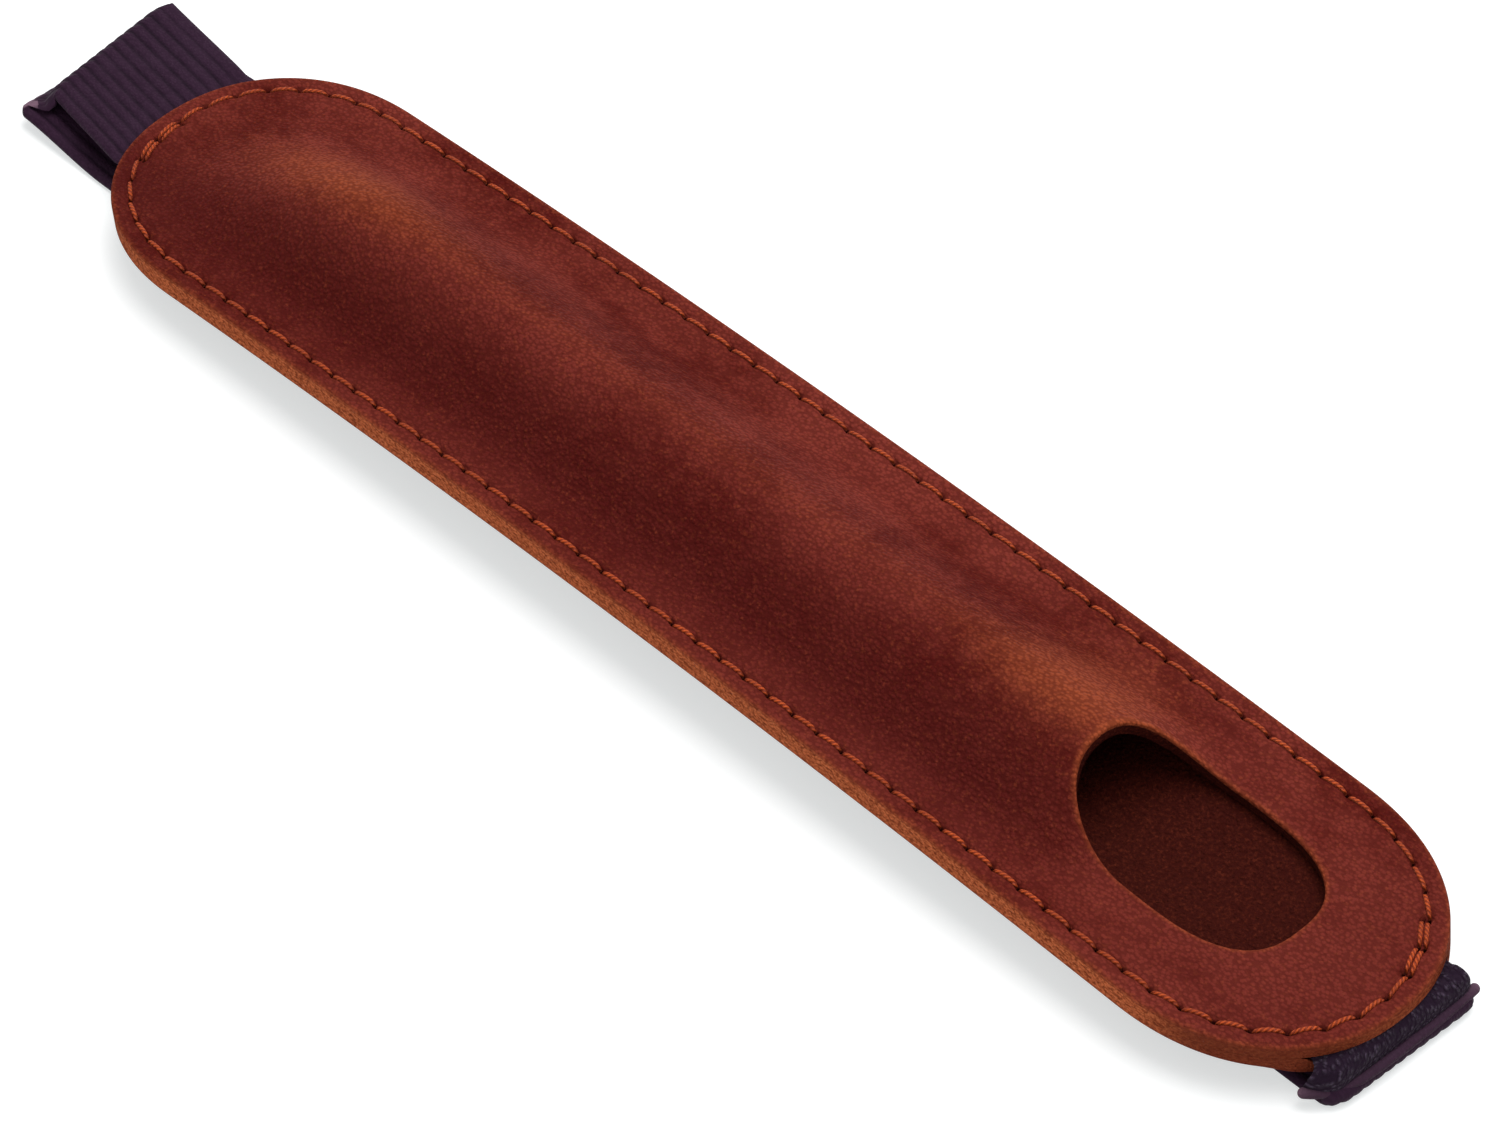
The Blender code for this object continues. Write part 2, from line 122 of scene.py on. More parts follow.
class Finish:
    """One material or world, with a single way to add any node to it."""

    def __init__(self, name, owner=None):
        self.material = owner or bpy.data.materials.new(name)
        self.material.use_nodes = True
        self.tree = self.material.node_tree
        self.shader = self.tree.nodes.get("Principled BSDF")

    def node(self, kind, sockets, output=0, **settings):
        made = self.tree.nodes.new(kind)
        for name, setting in settings.items():
            setattr(made, name, setting)
        for name, given in sockets.items():
            self.connect(made.inputs[name], given)
        return Value(self, made.outputs[output])

    def connect(self, entry, given):
        if isinstance(given, Value):
            self.tree.links.new(given.socket, entry)
        elif entry.type == "RGBA":
            entry.default_value = (*given, 1.0)
        else:
            entry.default_value = given

    def set(self, name, given):
        self.connect(self.shader.inputs[name], given)

    def place(self, stretch=(1, 1, 1), turn=0.0):
        """The piece's own coordinates, stretched and turned about Z."""
        own = self.node("ShaderNodeTexCoord", {}, output="Object")
        return self.node("ShaderNodeMapping", {"Vector": own, "Scale": stretch, "Rotation": (0, 0, turn)})

    def cloud(self, place, size, detail=3.0, rough=0.5):
        """Soft random values of about this size."""
        return self.node("ShaderNodeTexNoise", {"Vector": place, "Scale": 1 / size, "Detail": detail,
                                                "Roughness": rough})

    def cells(self, place, size):
        """The distance from the middle of rounded cells of about this size."""
        return self.node("ShaderNodeTexVoronoi", {"Vector": place, "Scale": 1 / size})

    def mask(self, name):
        """A value that each vertex of the piece carries."""
        return self.node("ShaderNodeAttribute", {}, output="Fac", attribute_name=name)

    def along_piece(self, stretch=1.0):
        """Coordinates that follow a band, stretched along it."""
        return self.node("ShaderNodeCombineXYZ", {0: self.mask("across"), 1: self.mask("along") * stretch})

    def blend(self, share, first, second):
        return self.node("ShaderNodeMix", {0: share, 6: first, 7: second}, output=2, data_type="RGBA")

    def relief(self, height, depth, below=None):
        """A bump of this depth in metres, laid over another one."""
        sockets = {"Height": height, "Distance": depth}
        if below:
            sockets["Normal"] = below
        return self.node("ShaderNodeBump", sockets)


def seen_by_eye(finish):
    """1 for what the camera sees, straight on or in a gloss, and 0 for light that spreads."""
    rays = [finish.node("ShaderNodeLightPath", {}, output="Is " + ray + " Ray")
            for ray in ("Camera", "Glossy", "Transmission")]
    return rays[0] + rays[1] + rays[2]


bpy.ops.mesh.primitive_plane_add(size=FLOOR_SIZE)
floor = bpy.context.object
floor.name = "floor"
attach(floor, "strap")
paper = Finish("white_floor")
paper.set("Base Color", FLOOR_WHITE)
paper.set("Roughness", FLOOR_ROUGHNESS)
paper.set("Specular IOR Level", 0.0)
glow = paper.node("ShaderNodeEmission", {"Color": GLOW_WHITE, "Strength": GLOW_STRENGTH}, output="Emission")
sheet = Value(paper, paper.shader.outputs["BSDF"])
shown = paper.node("ShaderNodeMixShader", {0: seen_by_eye(paper) * GLOW_SHARE, 1: sheet, 2: glow},
                   output="Shader")
paper.tree.links.new(shown.socket, paper.tree.nodes["Material Output"].inputs["Surface"])
floor.data.materials.append(paper.material)


# Lamps and room. One wide lamp stands behind the far side, weak ones light the window end and the
# near side, and the room's own white light does the rest. Each lamp has a place, a size and a power.
LAMPS = (("key_lamp", Vector((-40, 250, 730)) * MM, 600 * MM, 5.4),
         ("side_lamp", Vector((330, 170, 640)) * MM, 460 * MM, 1.1),
         ("fill_lamp", Vector((150, -620, 330)) * MM, 560 * MM, 0.6))
ROOM_WHITE = (1.0, 1.0, 1.0)
ROOM_LIGHT = 0.40

for lamp_name, lamp_place, lamp_size, lamp_power in LAMPS:
    lamp = bpy.data.objects.new(lamp_name, bpy.data.lights.new(lamp_name, "AREA"))
    bpy.context.scene.collection.objects.link(lamp)
    lamp.data.size = lamp_size
    lamp.data.energy = lamp_power
    lamp.location = lamp_place
    lamp.rotation_euler = (-lamp_place).to_track_quat("-Z", "Y").to_euler()

room = bpy.data.worlds.new("room")
bpy.context.scene.world = room
room_finish = Finish("room", room)
room_light = room_finish.tree.nodes["Background"].inputs
room_finish.connect(room_light["Color"], ROOM_WHITE)
room_finish.connect(room_light["Strength"], seen_by_eye(room_finish) * (1 - ROOM_LIGHT) + ROOM_LIGHT)
bpy.context.scene.view_settings.view_transform = "Standard"


# Front leather. One piece of waxed leather, moulded wet over a former, with an oval window cut out
# and its edge left raw. It is sewn to the back leather round the whole rim.
HALF_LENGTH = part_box("front_panel")[1].x
HALF_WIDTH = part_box("front_panel")[1].y
SEAM_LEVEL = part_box("front_panel")[0].z
LEATHER = 1.6 * MM
END_LENGTH = 22.9 * MM
END_SQUARENESS = 2.16
SPINE = HALF_LENGTH - END_LENGTH
ARCH_RISE = 3.3 * MM
POCKET_HEIGHT = 9.8 * MM
POCKET_FOOT = 5.1 * MM
POCKET_TAIL_MARGIN = 6.0 * MM
POCKET_TAIL_LENGTH = 36.0 * MM
LAYER_GAP = 0.3 * MM
MOUTH_FALL = 11.0 * MM
WINDOW_CENTRE = 71.35 * MM
WINDOW_HALF_LENGTH = 14.25 * MM
WINDOW_HALF_WIDTH = 8.75 * MM
WINDOW_SQUARENESS = 2.7
WINDOW_TIP = 4.0 * MM
WINDOW_FAN = 50.0 * MM
FAN_CROWDING = 0.8
FAN_CROWDED_SHARE = 0.045
SLOPE_STEP = 0.05 * MM
WELD = 0.002 * MM

SEAM_MARGIN = 2.2 * MM
STITCH_PITCH = 3.83 * MM
STITCH_SHARES = (0.0, 0.06, 0.14, 0.27, 0.42, 0.58, 0.73, 0.86, 0.94)
STITCH_PULL = 0.30 * MM
PULL_MEAN = 0.55
SEAM_SOFT = 0.62 * MM
HOLE_DEPTH = 0.8 * MM
HOLE_HALF_WIDTH = 0.24 * MM
HOLE_HALF_LENGTH = 0.46 * MM
HOLE_SLANT = 0.22
LOCK_STITCHES = 2
LOCK_OFFSET = 0.66 * MM
LOCK_OVERRUN = 0.3

EDGE_ROUND = 0.32 * MM
LIP_ROUND = 0.32 * MM
LIP_SHARE = 0.9
EDGE_FRAY_SHARE = 0.3
EDGE_FRAY = 0.35
RIM_ROUND_SHARES = (1.0, 0.68, 0.37, 0.13, 0.0)
CUT_EDGE_SHARES = (0.12, 0.35, 0.65, 0.88, 1.0)
WALL_SHARES = (0.2, 0.4, 0.6, 0.8, 1.0)
INNER_RINGS = 22
UNDER_RINGS = 7
CORE_AWAY = 1.3 * MM
CORE_RINGS = [value * MM for value in (0.0, 0.04, 0.12, 0.24, 0.38, 0.54, 0.75, 1.0)]
FLANGE_INSETS = [value * MM for value in (4.4, 3.8, 3.3, 2.95, 2.7, 2.52, 2.36, 2.2, 2.04, 1.88, 1.7,
                                          1.45, 1.15, 0.8)]
UNDER_INSETS = [value * MM for value in (0.3, 1.2, 3.0)]

# Places that are rubbed pale by hands, and places darkened by painted shade, each as its middle, its reach
# and its strength.
RIM_RUB = (0.0, 0.6 * MM, 0.5)
LIP_RUB = (0.0, 0.6 * MM, 0.6)
FRONT_HOLE_RUB = (SEAM_MARGIN + 0.75 * MM, 0.4 * MM, 0.25)
BACK_HOLE_RUB = (SEAM_MARGIN + 0.75 * MM, 0.4 * MM, 0.2)
HOLE_RUB_SHARE = 0.14
CREST_RUB = (1.5 * MM, 4.0 * MM, 0.26)
SHOULDER_RUB = ((50 * MM, 12 * MM, 0.50), (6 * MM, 10 * MM))
TAIL_RUB = ((-70 * MM, 18 * MM, 0.46), (2.5 * MM, 6.5 * MM))
# Painted shade on the near flank, fading towards the window end, and on the window end's cut edges and a
# little on its grain side.
FLANK_SHADE = (-10.0 * MM, 7.0 * MM)
FLANK_SHADE_FADE = (50.0 * MM, 18.0 * MM, 0.75)
END_SHADE = (93.0 * MM, 11.0 * MM, 0.9)
END_SHADE_ON_SKIN = 0.3

FRONT_DYE = ((0.080, 0.0060, 0.0040), (0.180, 0.0275, 0.0190), (0.290, 0.058, 0.021))
# The colour that the painted shade darkens the grain side towards.
PAINTED_SHADE_COLOUR = (0.065, 0.0054, 0.0050)
PEBBLE_CREASE = (0.045, 0.0042, 0.0030)
STREAK_CREASE = (0.050, 0.0045, 0.0030)
HOLE_SHADE = (0.012, 0.002, 0.0015)
EDGE_DARK = (0.33, 0.066, 0.023)
EDGE_PALE = (0.70, 0.185, 0.068)
EDGE_PIT = (0.13, 0.020, 0.006)
# Painted shade on the cut edges at the window end.
EDGE_PAINTED_SHADE = (0.14, 0.023, 0.011)
# Painted shade: the flesh side inside the pocket and the window's cut wall are painted this dark because they
# lie in shade.
FLESH_SHADE_DARK = (0.040, 0.0055, 0.0038)
FLESH_SHADE_PALE = (0.12, 0.021, 0.010)
PATCH_SIZE = 14 * MM
MOTTLE_SIZE = 2.6 * MM
STREAK_SIZE = 1.1 * MM
STREAK_TURN = math.radians(-35)
PEBBLE_SIZE = 0.55 * MM
PEBBLE_TURN = math.radians(-30)
GRAIN_SIZE = 0.50 * MM
GRAIN_DEPTH = 0.09 * MM
WRINKLE_DEPTH = 0.09 * MM
FIBRE_SIZE = 0.42 * MM
PIT_SIZE = 0.5 * MM
FIBRE_DEPTH = 0.25 * MM


def eased(value):
    """Rises smoothly from 0 at 0 to 1 at 1."""
    value = np.clip(value, 0.0, 1.0)
    return value * value * (3 - 2 * value)


def hump(distance, reach):
    """A round hill, 1 at its middle and nearly gone at twice its reach."""
    return np.exp(-(distance / reach) ** 2)


def rubbed_or_shaded(place, middle, reach, strength=1.0):
    """How strongly the leather is rubbed, or darkened by painted shade, at a place round the middle of a
    spot.
    """
    return strength * hump(place - middle, reach)


def arch(x):
    """The strap pulls the two ends down, so the middle of the sleeve stands higher."""
    return ARCH_RISE * (1 - (x / HALF_LENGTH) ** 2)


def bell(y):
    """Cross-section of the pocket, from 0 at its foot to 1 at its crest."""
    spread = HALF_WIDTH - POCKET_FOOT
    return np.cos(math.pi / 2 * np.minimum(1.0, np.abs(y) / spread)) ** 2


def pocket_share(x):
    """How much of its height the pocket has: it rises at its tail and falls at its mouth."""
    tail = eased((x + HALF_LENGTH - POCKET_TAIL_MARGIN) / POCKET_TAIL_LENGTH)
    mouth = 1 - eased((x - WINDOW_CENTRE + WINDOW_HALF_LENGTH) / MOUTH_FALL)
    return tail * mouth


def front_under(x, y):
    """Height of the front leather's flesh side over the table."""
    crest = POCKET_HEIGHT - arch(x) - LAYER_GAP
    return SEAM_LEVEL + arch(x) + crest * pocket_share(x) * bell(y)


def thickened(height, x, y, thickness):
    """A second face at an even thickness over a height field."""
    slope_x = (height(x + SLOPE_STEP, y) - height(x - SLOPE_STEP, y)) / (2 * SLOPE_STEP)
    slope_y = (height(x, y + SLOPE_STEP) - height(x, y - SLOPE_STEP)) / (2 * SLOPE_STEP)
    return height(x, y) + thickness * np.sqrt(1 + slope_x ** 2 + slope_y ** 2)


def front_top(x, y):
    """Height of the front leather's grain side."""
    return thickened(front_under, x, y, LEATHER)


def reach_along(line):
    """Distance along a line of points, given as one row for each axis."""
    return np.concatenate(([0.0], np.cumsum(np.linalg.norm(np.diff(line, axis=1), axis=0))))


def rim_line(samples=600):
    """Points and outward normals of the whole rim, from the window end over +Y and back."""
    turn = np.linspace(0, math.pi / 2, samples)
    power = 2 / END_SQUARENESS
    end_x = SPINE + END_LENGTH * np.abs(np.cos(turn)) ** power
    end_y = HALF_WIDTH * np.sin(turn) ** power
    end_x[-1] = SPINE
    side_x = np.linspace(SPINE, 0, samples)[1:]
    x = np.concatenate((end_x, side_x))
    y = np.concatenate((end_y, np.full(len(side_x), HALF_WIDTH)))
    x, y = np.concatenate((x, -x[-2::-1])), np.concatenate((y, y[-2::-1]))
    x, y = np.concatenate((x, x[-2:0:-1])), np.concatenate((y, -y[-2:0:-1]))
    along = np.stack((np.roll(x, -1) - np.roll(x, 1), np.roll(y, -1) - np.roll(y, 1)))
    along = along / np.linalg.norm(along, axis=0)
    return np.stack((x, y)), np.stack((along[1], -along[0]))


RIM, RIM_NORMALS = rim_line()
SEAM_NORMALS = np.concatenate((RIM_NORMALS, RIM_NORMALS[:, :1]), axis=1)
SEAM = np.concatenate((RIM, RIM[:, :1]), axis=1) - SEAM_NORMALS * SEAM_MARGIN
SEAM_REACH = reach_along(SEAM)
STITCHES = 2 * round(SEAM_REACH[-1] / 2 / STITCH_PITCH)
LOCK_STARTS = (1, STITCHES // 2)
COLUMNS = np.array([whole + share for whole in range(STITCHES) for share in STITCH_SHARES])


def seam_at(stitch, inset=SEAM_MARGIN):
    """Plan points and normals on a line inside the rim, at places counted in stitches."""
    wanted = np.asarray(stitch, float) % STITCHES * SEAM_REACH[-1] / STITCHES
    place = np.stack([np.interp(wanted, SEAM_REACH, line) for line in SEAM])
    normal = np.stack([np.interp(wanted, SEAM_REACH, line) for line in SEAM_NORMALS])
    normal = normal / np.linalg.norm(normal, axis=0)
    return place + normal * (SEAM_MARGIN - inset), normal


def window_distance(x, y):
    """About how far a plan point lies outside the window's edge."""
    across = np.abs(x - WINDOW_CENTRE) / WINDOW_HALF_LENGTH
    up = np.abs(y) / WINDOW_HALF_WIDTH
    power, least = WINDOW_SQUARENESS, 1e-6
    size = np.maximum((across ** power + up ** power) ** (1 / power), least)
    slope = np.hypot((across / size) ** (power - 1) / WINDOW_HALF_LENGTH,
                     (up / size) ** (power - 1) / WINDOW_HALF_WIDTH)
    return (size - 1) / np.maximum(slope, least)


def window_edge(share, away, samples=900):
    """Plan points at a distance outside the window's +Y edge, at shares of its length."""
    turn = np.linspace(0, math.pi, samples)
    power = 2 / WINDOW_SQUARENESS
    oval_x = WINDOW_CENTRE + WINDOW_HALF_LENGTH * np.sign(np.cos(turn)) * np.abs(np.cos(turn)) ** power
    oval_y = WINDOW_HALF_WIDTH * np.abs(np.sin(turn)) ** power
    oval_y[-1] = 0.0
    reach = reach_along(np.stack((oval_x, oval_y)))
    out_x, out_y = np.gradient(oval_y, reach), -np.gradient(oval_x, reach)
    wanted = share * reach[-1]
    x = np.interp(wanted, reach, oval_x) + np.interp(wanted, reach, out_x) * away
    y = np.interp(wanted, reach, oval_y) + np.interp(wanted, reach, out_y) * away
    lifted = np.where(y < WINDOW_TIP, away + y * (1 - away / WINDOW_TIP), y)
    return x, np.where(x < WINDOW_CENTRE, lifted, y)


def core_ring(away):
    """Plan points round the pocket's middle line and the window, at a distance from both."""
    place, normal = seam_at(COLUMNS)
    x = place[0]
    half = np.minimum(COLUMNS, STITCHES - COLUMNS)
    first_spine = half[x <= WINDOW_FAN].min()
    tip = WINDOW_CENTRE - WINDOW_HALF_LENGTH
    share = np.clip((WINDOW_FAN - x) / (WINDOW_FAN + SPINE), 0, 1)
    spread = share - FAN_CROWDING * FAN_CROWDED_SHARE * (1 - np.exp(-share / FAN_CROWDED_SHARE))
    spread /= 1 - FAN_CROWDING * FAN_CROWDED_SHARE
    tail = x < -SPINE
    ring_x = np.where(tail, -SPINE + normal[0] * away, tip - away - (SPINE + tip - away) * spread)
    ring_y = np.where(tail, np.abs(normal[1]) * away, away)
    window_x, window_y = window_edge(np.clip(half / first_spine, 0, 1), away)
    at_window = half < first_spine
    ring_x = np.where(at_window, window_x, ring_x)
    ring_y = np.where(at_window, window_y, ring_y)
    return np.stack((ring_x, ring_y * np.where(COLUMNS <= STITCHES / 2, 1.0, -1.0))), at_window


def core_spine():
    """The pocket's middle line, met by every column."""
    place, _ = seam_at(COLUMNS, POCKET_FOOT)
    return np.stack((np.clip(place[0], -SPINE, SPINE), np.zeros(len(COLUMNS))))


def dimple(across, columns, pull, depth):
    """How far a row of stitches pulls the leather down, deepest at its slanted holes."""
    phase = columns - np.round(columns)
    along = phase * STITCH_PITCH
    pulled = PULL_MEAN + (1 - PULL_MEAN) * np.cos(math.tau * phase)
    hole = hump(across + HOLE_SLANT * along, HOLE_HALF_WIDTH) * hump(along, HOLE_HALF_LENGTH)
    return pull * pulled * hump(across, SEAM_SOFT) + depth * hole


def seam_relief(inset, columns, pull, depth):
    """The seam's dimples, with the second rows that lock the strap's two ends."""
    relief = dimple(inset - SEAM_MARGIN, columns, pull, depth)
    for first in LOCK_STARTS:
        locked = (columns >= first - LOCK_OVERRUN) & (columns <= first + LOCK_STITCHES + LOCK_OVERRUN)
        second = dimple(inset - SEAM_MARGIN - LOCK_OFFSET, columns, pull, depth)
        relief = np.maximum(relief, second * locked)
    return relief


def rounded(distance, radius):
    """Drop of a rounded edge at a distance inside it."""
    inside = np.clip(radius - distance, 0, radius)
    return radius - np.sqrt(np.maximum(radius ** 2 - inside ** 2, 0))


def burnish(plan, inset, windowed):
    """Where the leather is rubbed or stretched, and so paler: rim, holes, crest and window mouth."""
    x, y = plan
    phase = COLUMNS - np.round(COLUMNS)
    rim = rubbed_or_shaded(inset, *RIM_RUB)
    holes = rubbed_or_shaded(inset, *(FRONT_HOLE_RUB if windowed else BACK_HOLE_RUB)) * hump(phase, HOLE_RUB_SHARE)
    if not windowed:
        return np.clip(rim + holes, 0, 1)
    crest = rubbed_or_shaded(y, *CREST_RUB) * pocket_share(x)
    shoulder, tail = (rubbed_or_shaded(x, *along) * rubbed_or_shaded(y, *across) for along, across in (SHOULDER_RUB, TAIL_RUB))
    lip = rubbed_or_shaded(np.maximum(window_distance(x, y), 0), *LIP_RUB)
    return np.clip(rim + holes + crest + shoulder + tail + lip, 0, 1)


def shade_painting(plan, cut):
    """Where shade is painted into the leather's colour: the near flank, and the window end's cut edge."""
    x, y = plan
    fade_start, fade_reach, fade_strength = FLANK_SHADE_FADE
    flank = rubbed_or_shaded(y, *FLANK_SHADE) * (1 - fade_strength * eased((x - fade_start) / fade_reach))
    end = rubbed_or_shaded(x, *END_SHADE)
    return np.maximum(flank, end if cut > 0 else end * END_SHADE_ON_SKIN)


def woven(name, rings, finish):
    """A shell from closed rings of points, joined along its first and last ring."""
    bpy.ops.object.select_all(action="DESELECT")
    bpy.ops.mesh.primitive_grid_add(x_subdivisions=rings[0].shape[1], y_subdivisions=len(rings) - 1, size=1)
    piece = bpy.context.object
    piece.name = piece.data.name = name
    points = np.stack([np.concatenate((ring, ring[:, :1]), axis=1) for ring in rings])
    piece.data.vertices.foreach_set("co", points.transpose(0, 2, 1).astype(np.float32).ravel())
    piece.data.materials.append(finish.material)
    return piece


def marked(piece, name, values):
    """Give each vertex of a woven piece its value of one mask."""
    mask = piece.data.attributes.new(name, "FLOAT", "POINT")
    mask.data.foreach_set("value", values.astype(np.float32))


def closed_rows(rows):
    """The rows of a mask, each closed on its first value as its ring is."""
    return np.stack([np.concatenate((row, row[:1])) for row in rows]).ravel()


def cut_away(piece, doomed):
    """Delete the faces that are marked in a list of true and false."""
    bpy.context.view_layer.objects.active = piece
    bpy.ops.object.mode_set(mode="EDIT")
    bpy.ops.mesh.select_mode(type="FACE")
    bpy.ops.mesh.select_all(action="DESELECT")
    bpy.ops.object.mode_set(mode="OBJECT")
    piece.data.polygons.foreach_set("select", doomed)
    bpy.ops.object.mode_set(mode="EDIT")
    bpy.ops.mesh.delete(type="FACE")
    bpy.ops.mesh.select_mode(type="VERT")
    bpy.ops.object.mode_set(mode="OBJECT")


def closed_up(piece, smooth_angle=40, filled=False):
    """Merge the meeting edges, close the ends, turn the faces outward and shade the piece smooth."""
    bpy.context.view_layer.objects.active = piece
    piece.select_set(True)
    bpy.ops.object.mode_set(mode="EDIT")
    bpy.ops.mesh.select_all(action="SELECT")
    bpy.ops.mesh.remove_doubles(threshold=WELD)
    if filled:
        bpy.ops.mesh.fill_holes(sides=0)
    bpy.ops.mesh.normals_make_consistent(inside=False)
    bpy.ops.object.mode_set(mode="OBJECT")
    bpy.ops.object.shade_smooth_by_angle(angle=math.radians(smooth_angle))
    piece.select_set(False)
    return piece


def leather_shell(name, under, over, windowed, finish):
    """A leather between two height fields, with rounded upper edges, seam dimples and cut edges."""
    rings = []
    masks = {"raw": [], "shaded_inside": [], "rubbed": [], "hole": [], "painted_shade": []}

    def lay(plan, height, cut=0.0, inset=POCKET_FOOT, shaded_inside=0.0):
        """Add one ring, and how far its leather is cut, painted with shade inside, rubbed, pierced and
        painted with shade on the flank and window end.
        """
        rings.append(np.stack((plan[0], plan[1], height)))
        masks["raw"].append(np.full(plan.shape[1], float(cut)))
        masks["shaded_inside"].append(np.full(plan.shape[1], float(shaded_inside)))
        masks["rubbed"].append(burnish(plan, inset, windowed) * (cut < 1.0))
        masks["hole"].append(seam_relief(inset, COLUMNS, 0.0, 1.0) * (cut < 1.0))
        masks["painted_shade"].append(shade_painting(plan, cut))

    def top(plan, inset=None):
        """Height of the grain side, with its dimples and rounded rim where an inset is given."""
        height = over(*plan)
        if windowed:
            height = height - rounded(window_distance(*plan), LIP_ROUND)
        if inset is not None:
            height = height - seam_relief(inset, COLUMNS, STITCH_PULL, HOLE_DEPTH)
            height = height - rounded(inset, EDGE_ROUND)
        return height

    foot, _ = seam_at(COLUMNS, POCKET_FOOT)
    if windowed:
        core, at_window = core_ring(CORE_AWAY)
        for away in CORE_RINGS:
            plan, _ = core_ring(away)
            lay(plan, top(plan))
    else:
        core = core_spine()
    lay(core, top(core))
    for step in range(1, INNER_RINGS + 1):
        plan = core + (foot - core) * (step / INNER_RINGS)
        lay(plan, top(plan))
    for inset in FLANGE_INSETS:
        plan, _ = seam_at(COLUMNS, inset)
        lay(plan, top(plan, inset), inset=inset)
    for share in RIM_ROUND_SHARES:
        inset = EDGE_ROUND * share
        plan, _ = seam_at(COLUMNS, inset)
        lay(plan, top(plan, inset), EDGE_FRAY if share < EDGE_FRAY_SHARE else 0.0, inset)
    upper, lower = top(plan, 0.0), under(*plan)
    for share in CUT_EDGE_SHARES:
        lay(plan, upper + (lower - upper) * share, 1.0)
    # From here on the rings are the flesh side and the window's cut wall, marked for painted shade.
    for inset in UNDER_INSETS:
        plan, _ = seam_at(COLUMNS, inset)
        lay(plan, under(*plan), 1.0, shaded_inside=1.0)
    for step in range(UNDER_RINGS + 1):
        plan = foot + (core - foot) * step / UNDER_RINGS
        lay(plan, under(*plan), 1.0, shaded_inside=1.0)
    if windowed:
        edge, _ = core_ring(0.0)
        upper, lower = top(edge), under(*edge)
        lay(edge, lower, 1.0, shaded_inside=1.0)
        wall_start = len(rings) - 1
        for share in WALL_SHARES:
            below_lip = share < LIP_SHARE
            lay(edge, lower + (upper - lower) * share, below_lip, shaded_inside=below_lip)
    piece = woven(name, rings, finish)
    for mask, rows in masks.items():
        marked(piece, mask, closed_rows(rows))
    if windowed:
        # Along the pocket's middle line the window's wall is a slit of no width, which isn't kept.
        slit = ~at_window & ~np.roll(at_window, -1)
        doomed = np.zeros((len(rings) - 1, len(COLUMNS)), bool)
        doomed[wall_start:] = slit
        cut_away(piece, doomed.ravel())
    return closed_up(piece)


def leather_finish(name, dye):
    """Waxed leather: cloudy dye, paler where it is rubbed, pebbled grain and fibrous cut edges, with painted
    shade on the near flank, the window end and inside the pocket and window.
    """
    dark, middle, pale = dye
    finish = Finish(name)
    own = finish.place()
    cut, shaded_inside, rubbed = finish.mask("raw"), finish.mask("shaded_inside"), finish.mask("rubbed")
    hole, painted_shade = finish.mask("hole"), finish.mask("painted_shade")
    patch = finish.cloud(finish.place((0.5, 1, 1)), PATCH_SIZE, 4.0, 0.6)
    mottle = finish.cloud(own, MOTTLE_SIZE, 4.0, 0.6)
    streak = finish.cloud(finish.place((1, 2.4, 1), STREAK_TURN), STREAK_SIZE, 4.0, 0.65)
    pebble = finish.cells(finish.place((1, 1.3, 1), PEBBLE_TURN), PEBBLE_SIZE)
    fine = finish.cloud(own, GRAIN_SIZE, 4.0, 0.75)
    worn = (rubbed * (mottle * 0.8 + streak * 0.9 + fine * 0.5)).between(0.10, 1.05)
    flecked = fine.between(0.50, 0.66) * streak.between(0.3, 0.6) * (0.30 + 0.6 * rubbed)
    # Painted shade darkens the near flank and the window end.
    skin = finish.blend(patch.between(0.36, 0.64) * (1 - painted_shade * 0.5), dark, middle)
    skin = finish.blend(mottle.between(0.42, 0.66) * 0.5, skin, middle)
    skin = finish.blend(painted_shade * 0.75, skin, PAINTED_SHADE_COLOUR)
    skin = finish.blend(worn, skin, pale)
    skin = finish.blend(flecked, skin, pale)
    skin = finish.blend(pebble.between(0.30, 0.65) * 0.45, skin, PEBBLE_CREASE)
    skin = finish.blend(streak.between(0.58, 0.70) * 0.35, skin, STREAK_CREASE)
    skin = finish.blend(hole.between(0.30, 0.75) * 0.9, skin, HOLE_SHADE)
    fibre = finish.cloud(finish.place((1, 1, 1.6)), FIBRE_SIZE, 5.0, 0.75)
    pits = finish.cells(finish.place((1, 1, 1.4)), PIT_SIZE)
    edge = finish.blend(fibre.between(0.36, 0.62), EDGE_DARK, EDGE_PALE)
    edge = finish.blend(pits.between(0.45, 0.8) * 0.65, edge, EDGE_PIT)
    # The cut edges at the window end take the painted shade.
    edge = finish.blend(painted_shade.between(0.10, 0.80) * 0.85, edge, EDGE_PAINTED_SHADE)
    # Painted shade on the flesh side and the window's cut wall, with a little fibre.
    flesh = finish.blend(fibre.between(0.45, 0.8), FLESH_SHADE_DARK, FLESH_SHADE_PALE)
    finish.set("Base Color", finish.blend(cut, skin, finish.blend(shaded_inside, edge, flesh)))
    finish.set("Roughness", 0.52 + 0.16 * mottle + pebble.between(0.3, 0.8) * 0.12 + cut * 0.25)
    finish.set("Specular IOR Level", 0.03)
    grain = finish.relief((1 - pebble.between(0.1, 0.8)) + fine * 0.9 + streak * 0.5, GRAIN_DEPTH)
    wrinkled = finish.relief(streak + mottle, WRINKLE_DEPTH, grain)
    finish.set("Normal", finish.relief(cut * (fibre - pits), FIBRE_DEPTH, wrinkled))
    return finish


front_leather = leather_shell("front_leather", front_under, front_top, True,
                              leather_finish("front_leather", FRONT_DYE))
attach(front_leather, "sleeve")
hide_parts("front_panel")


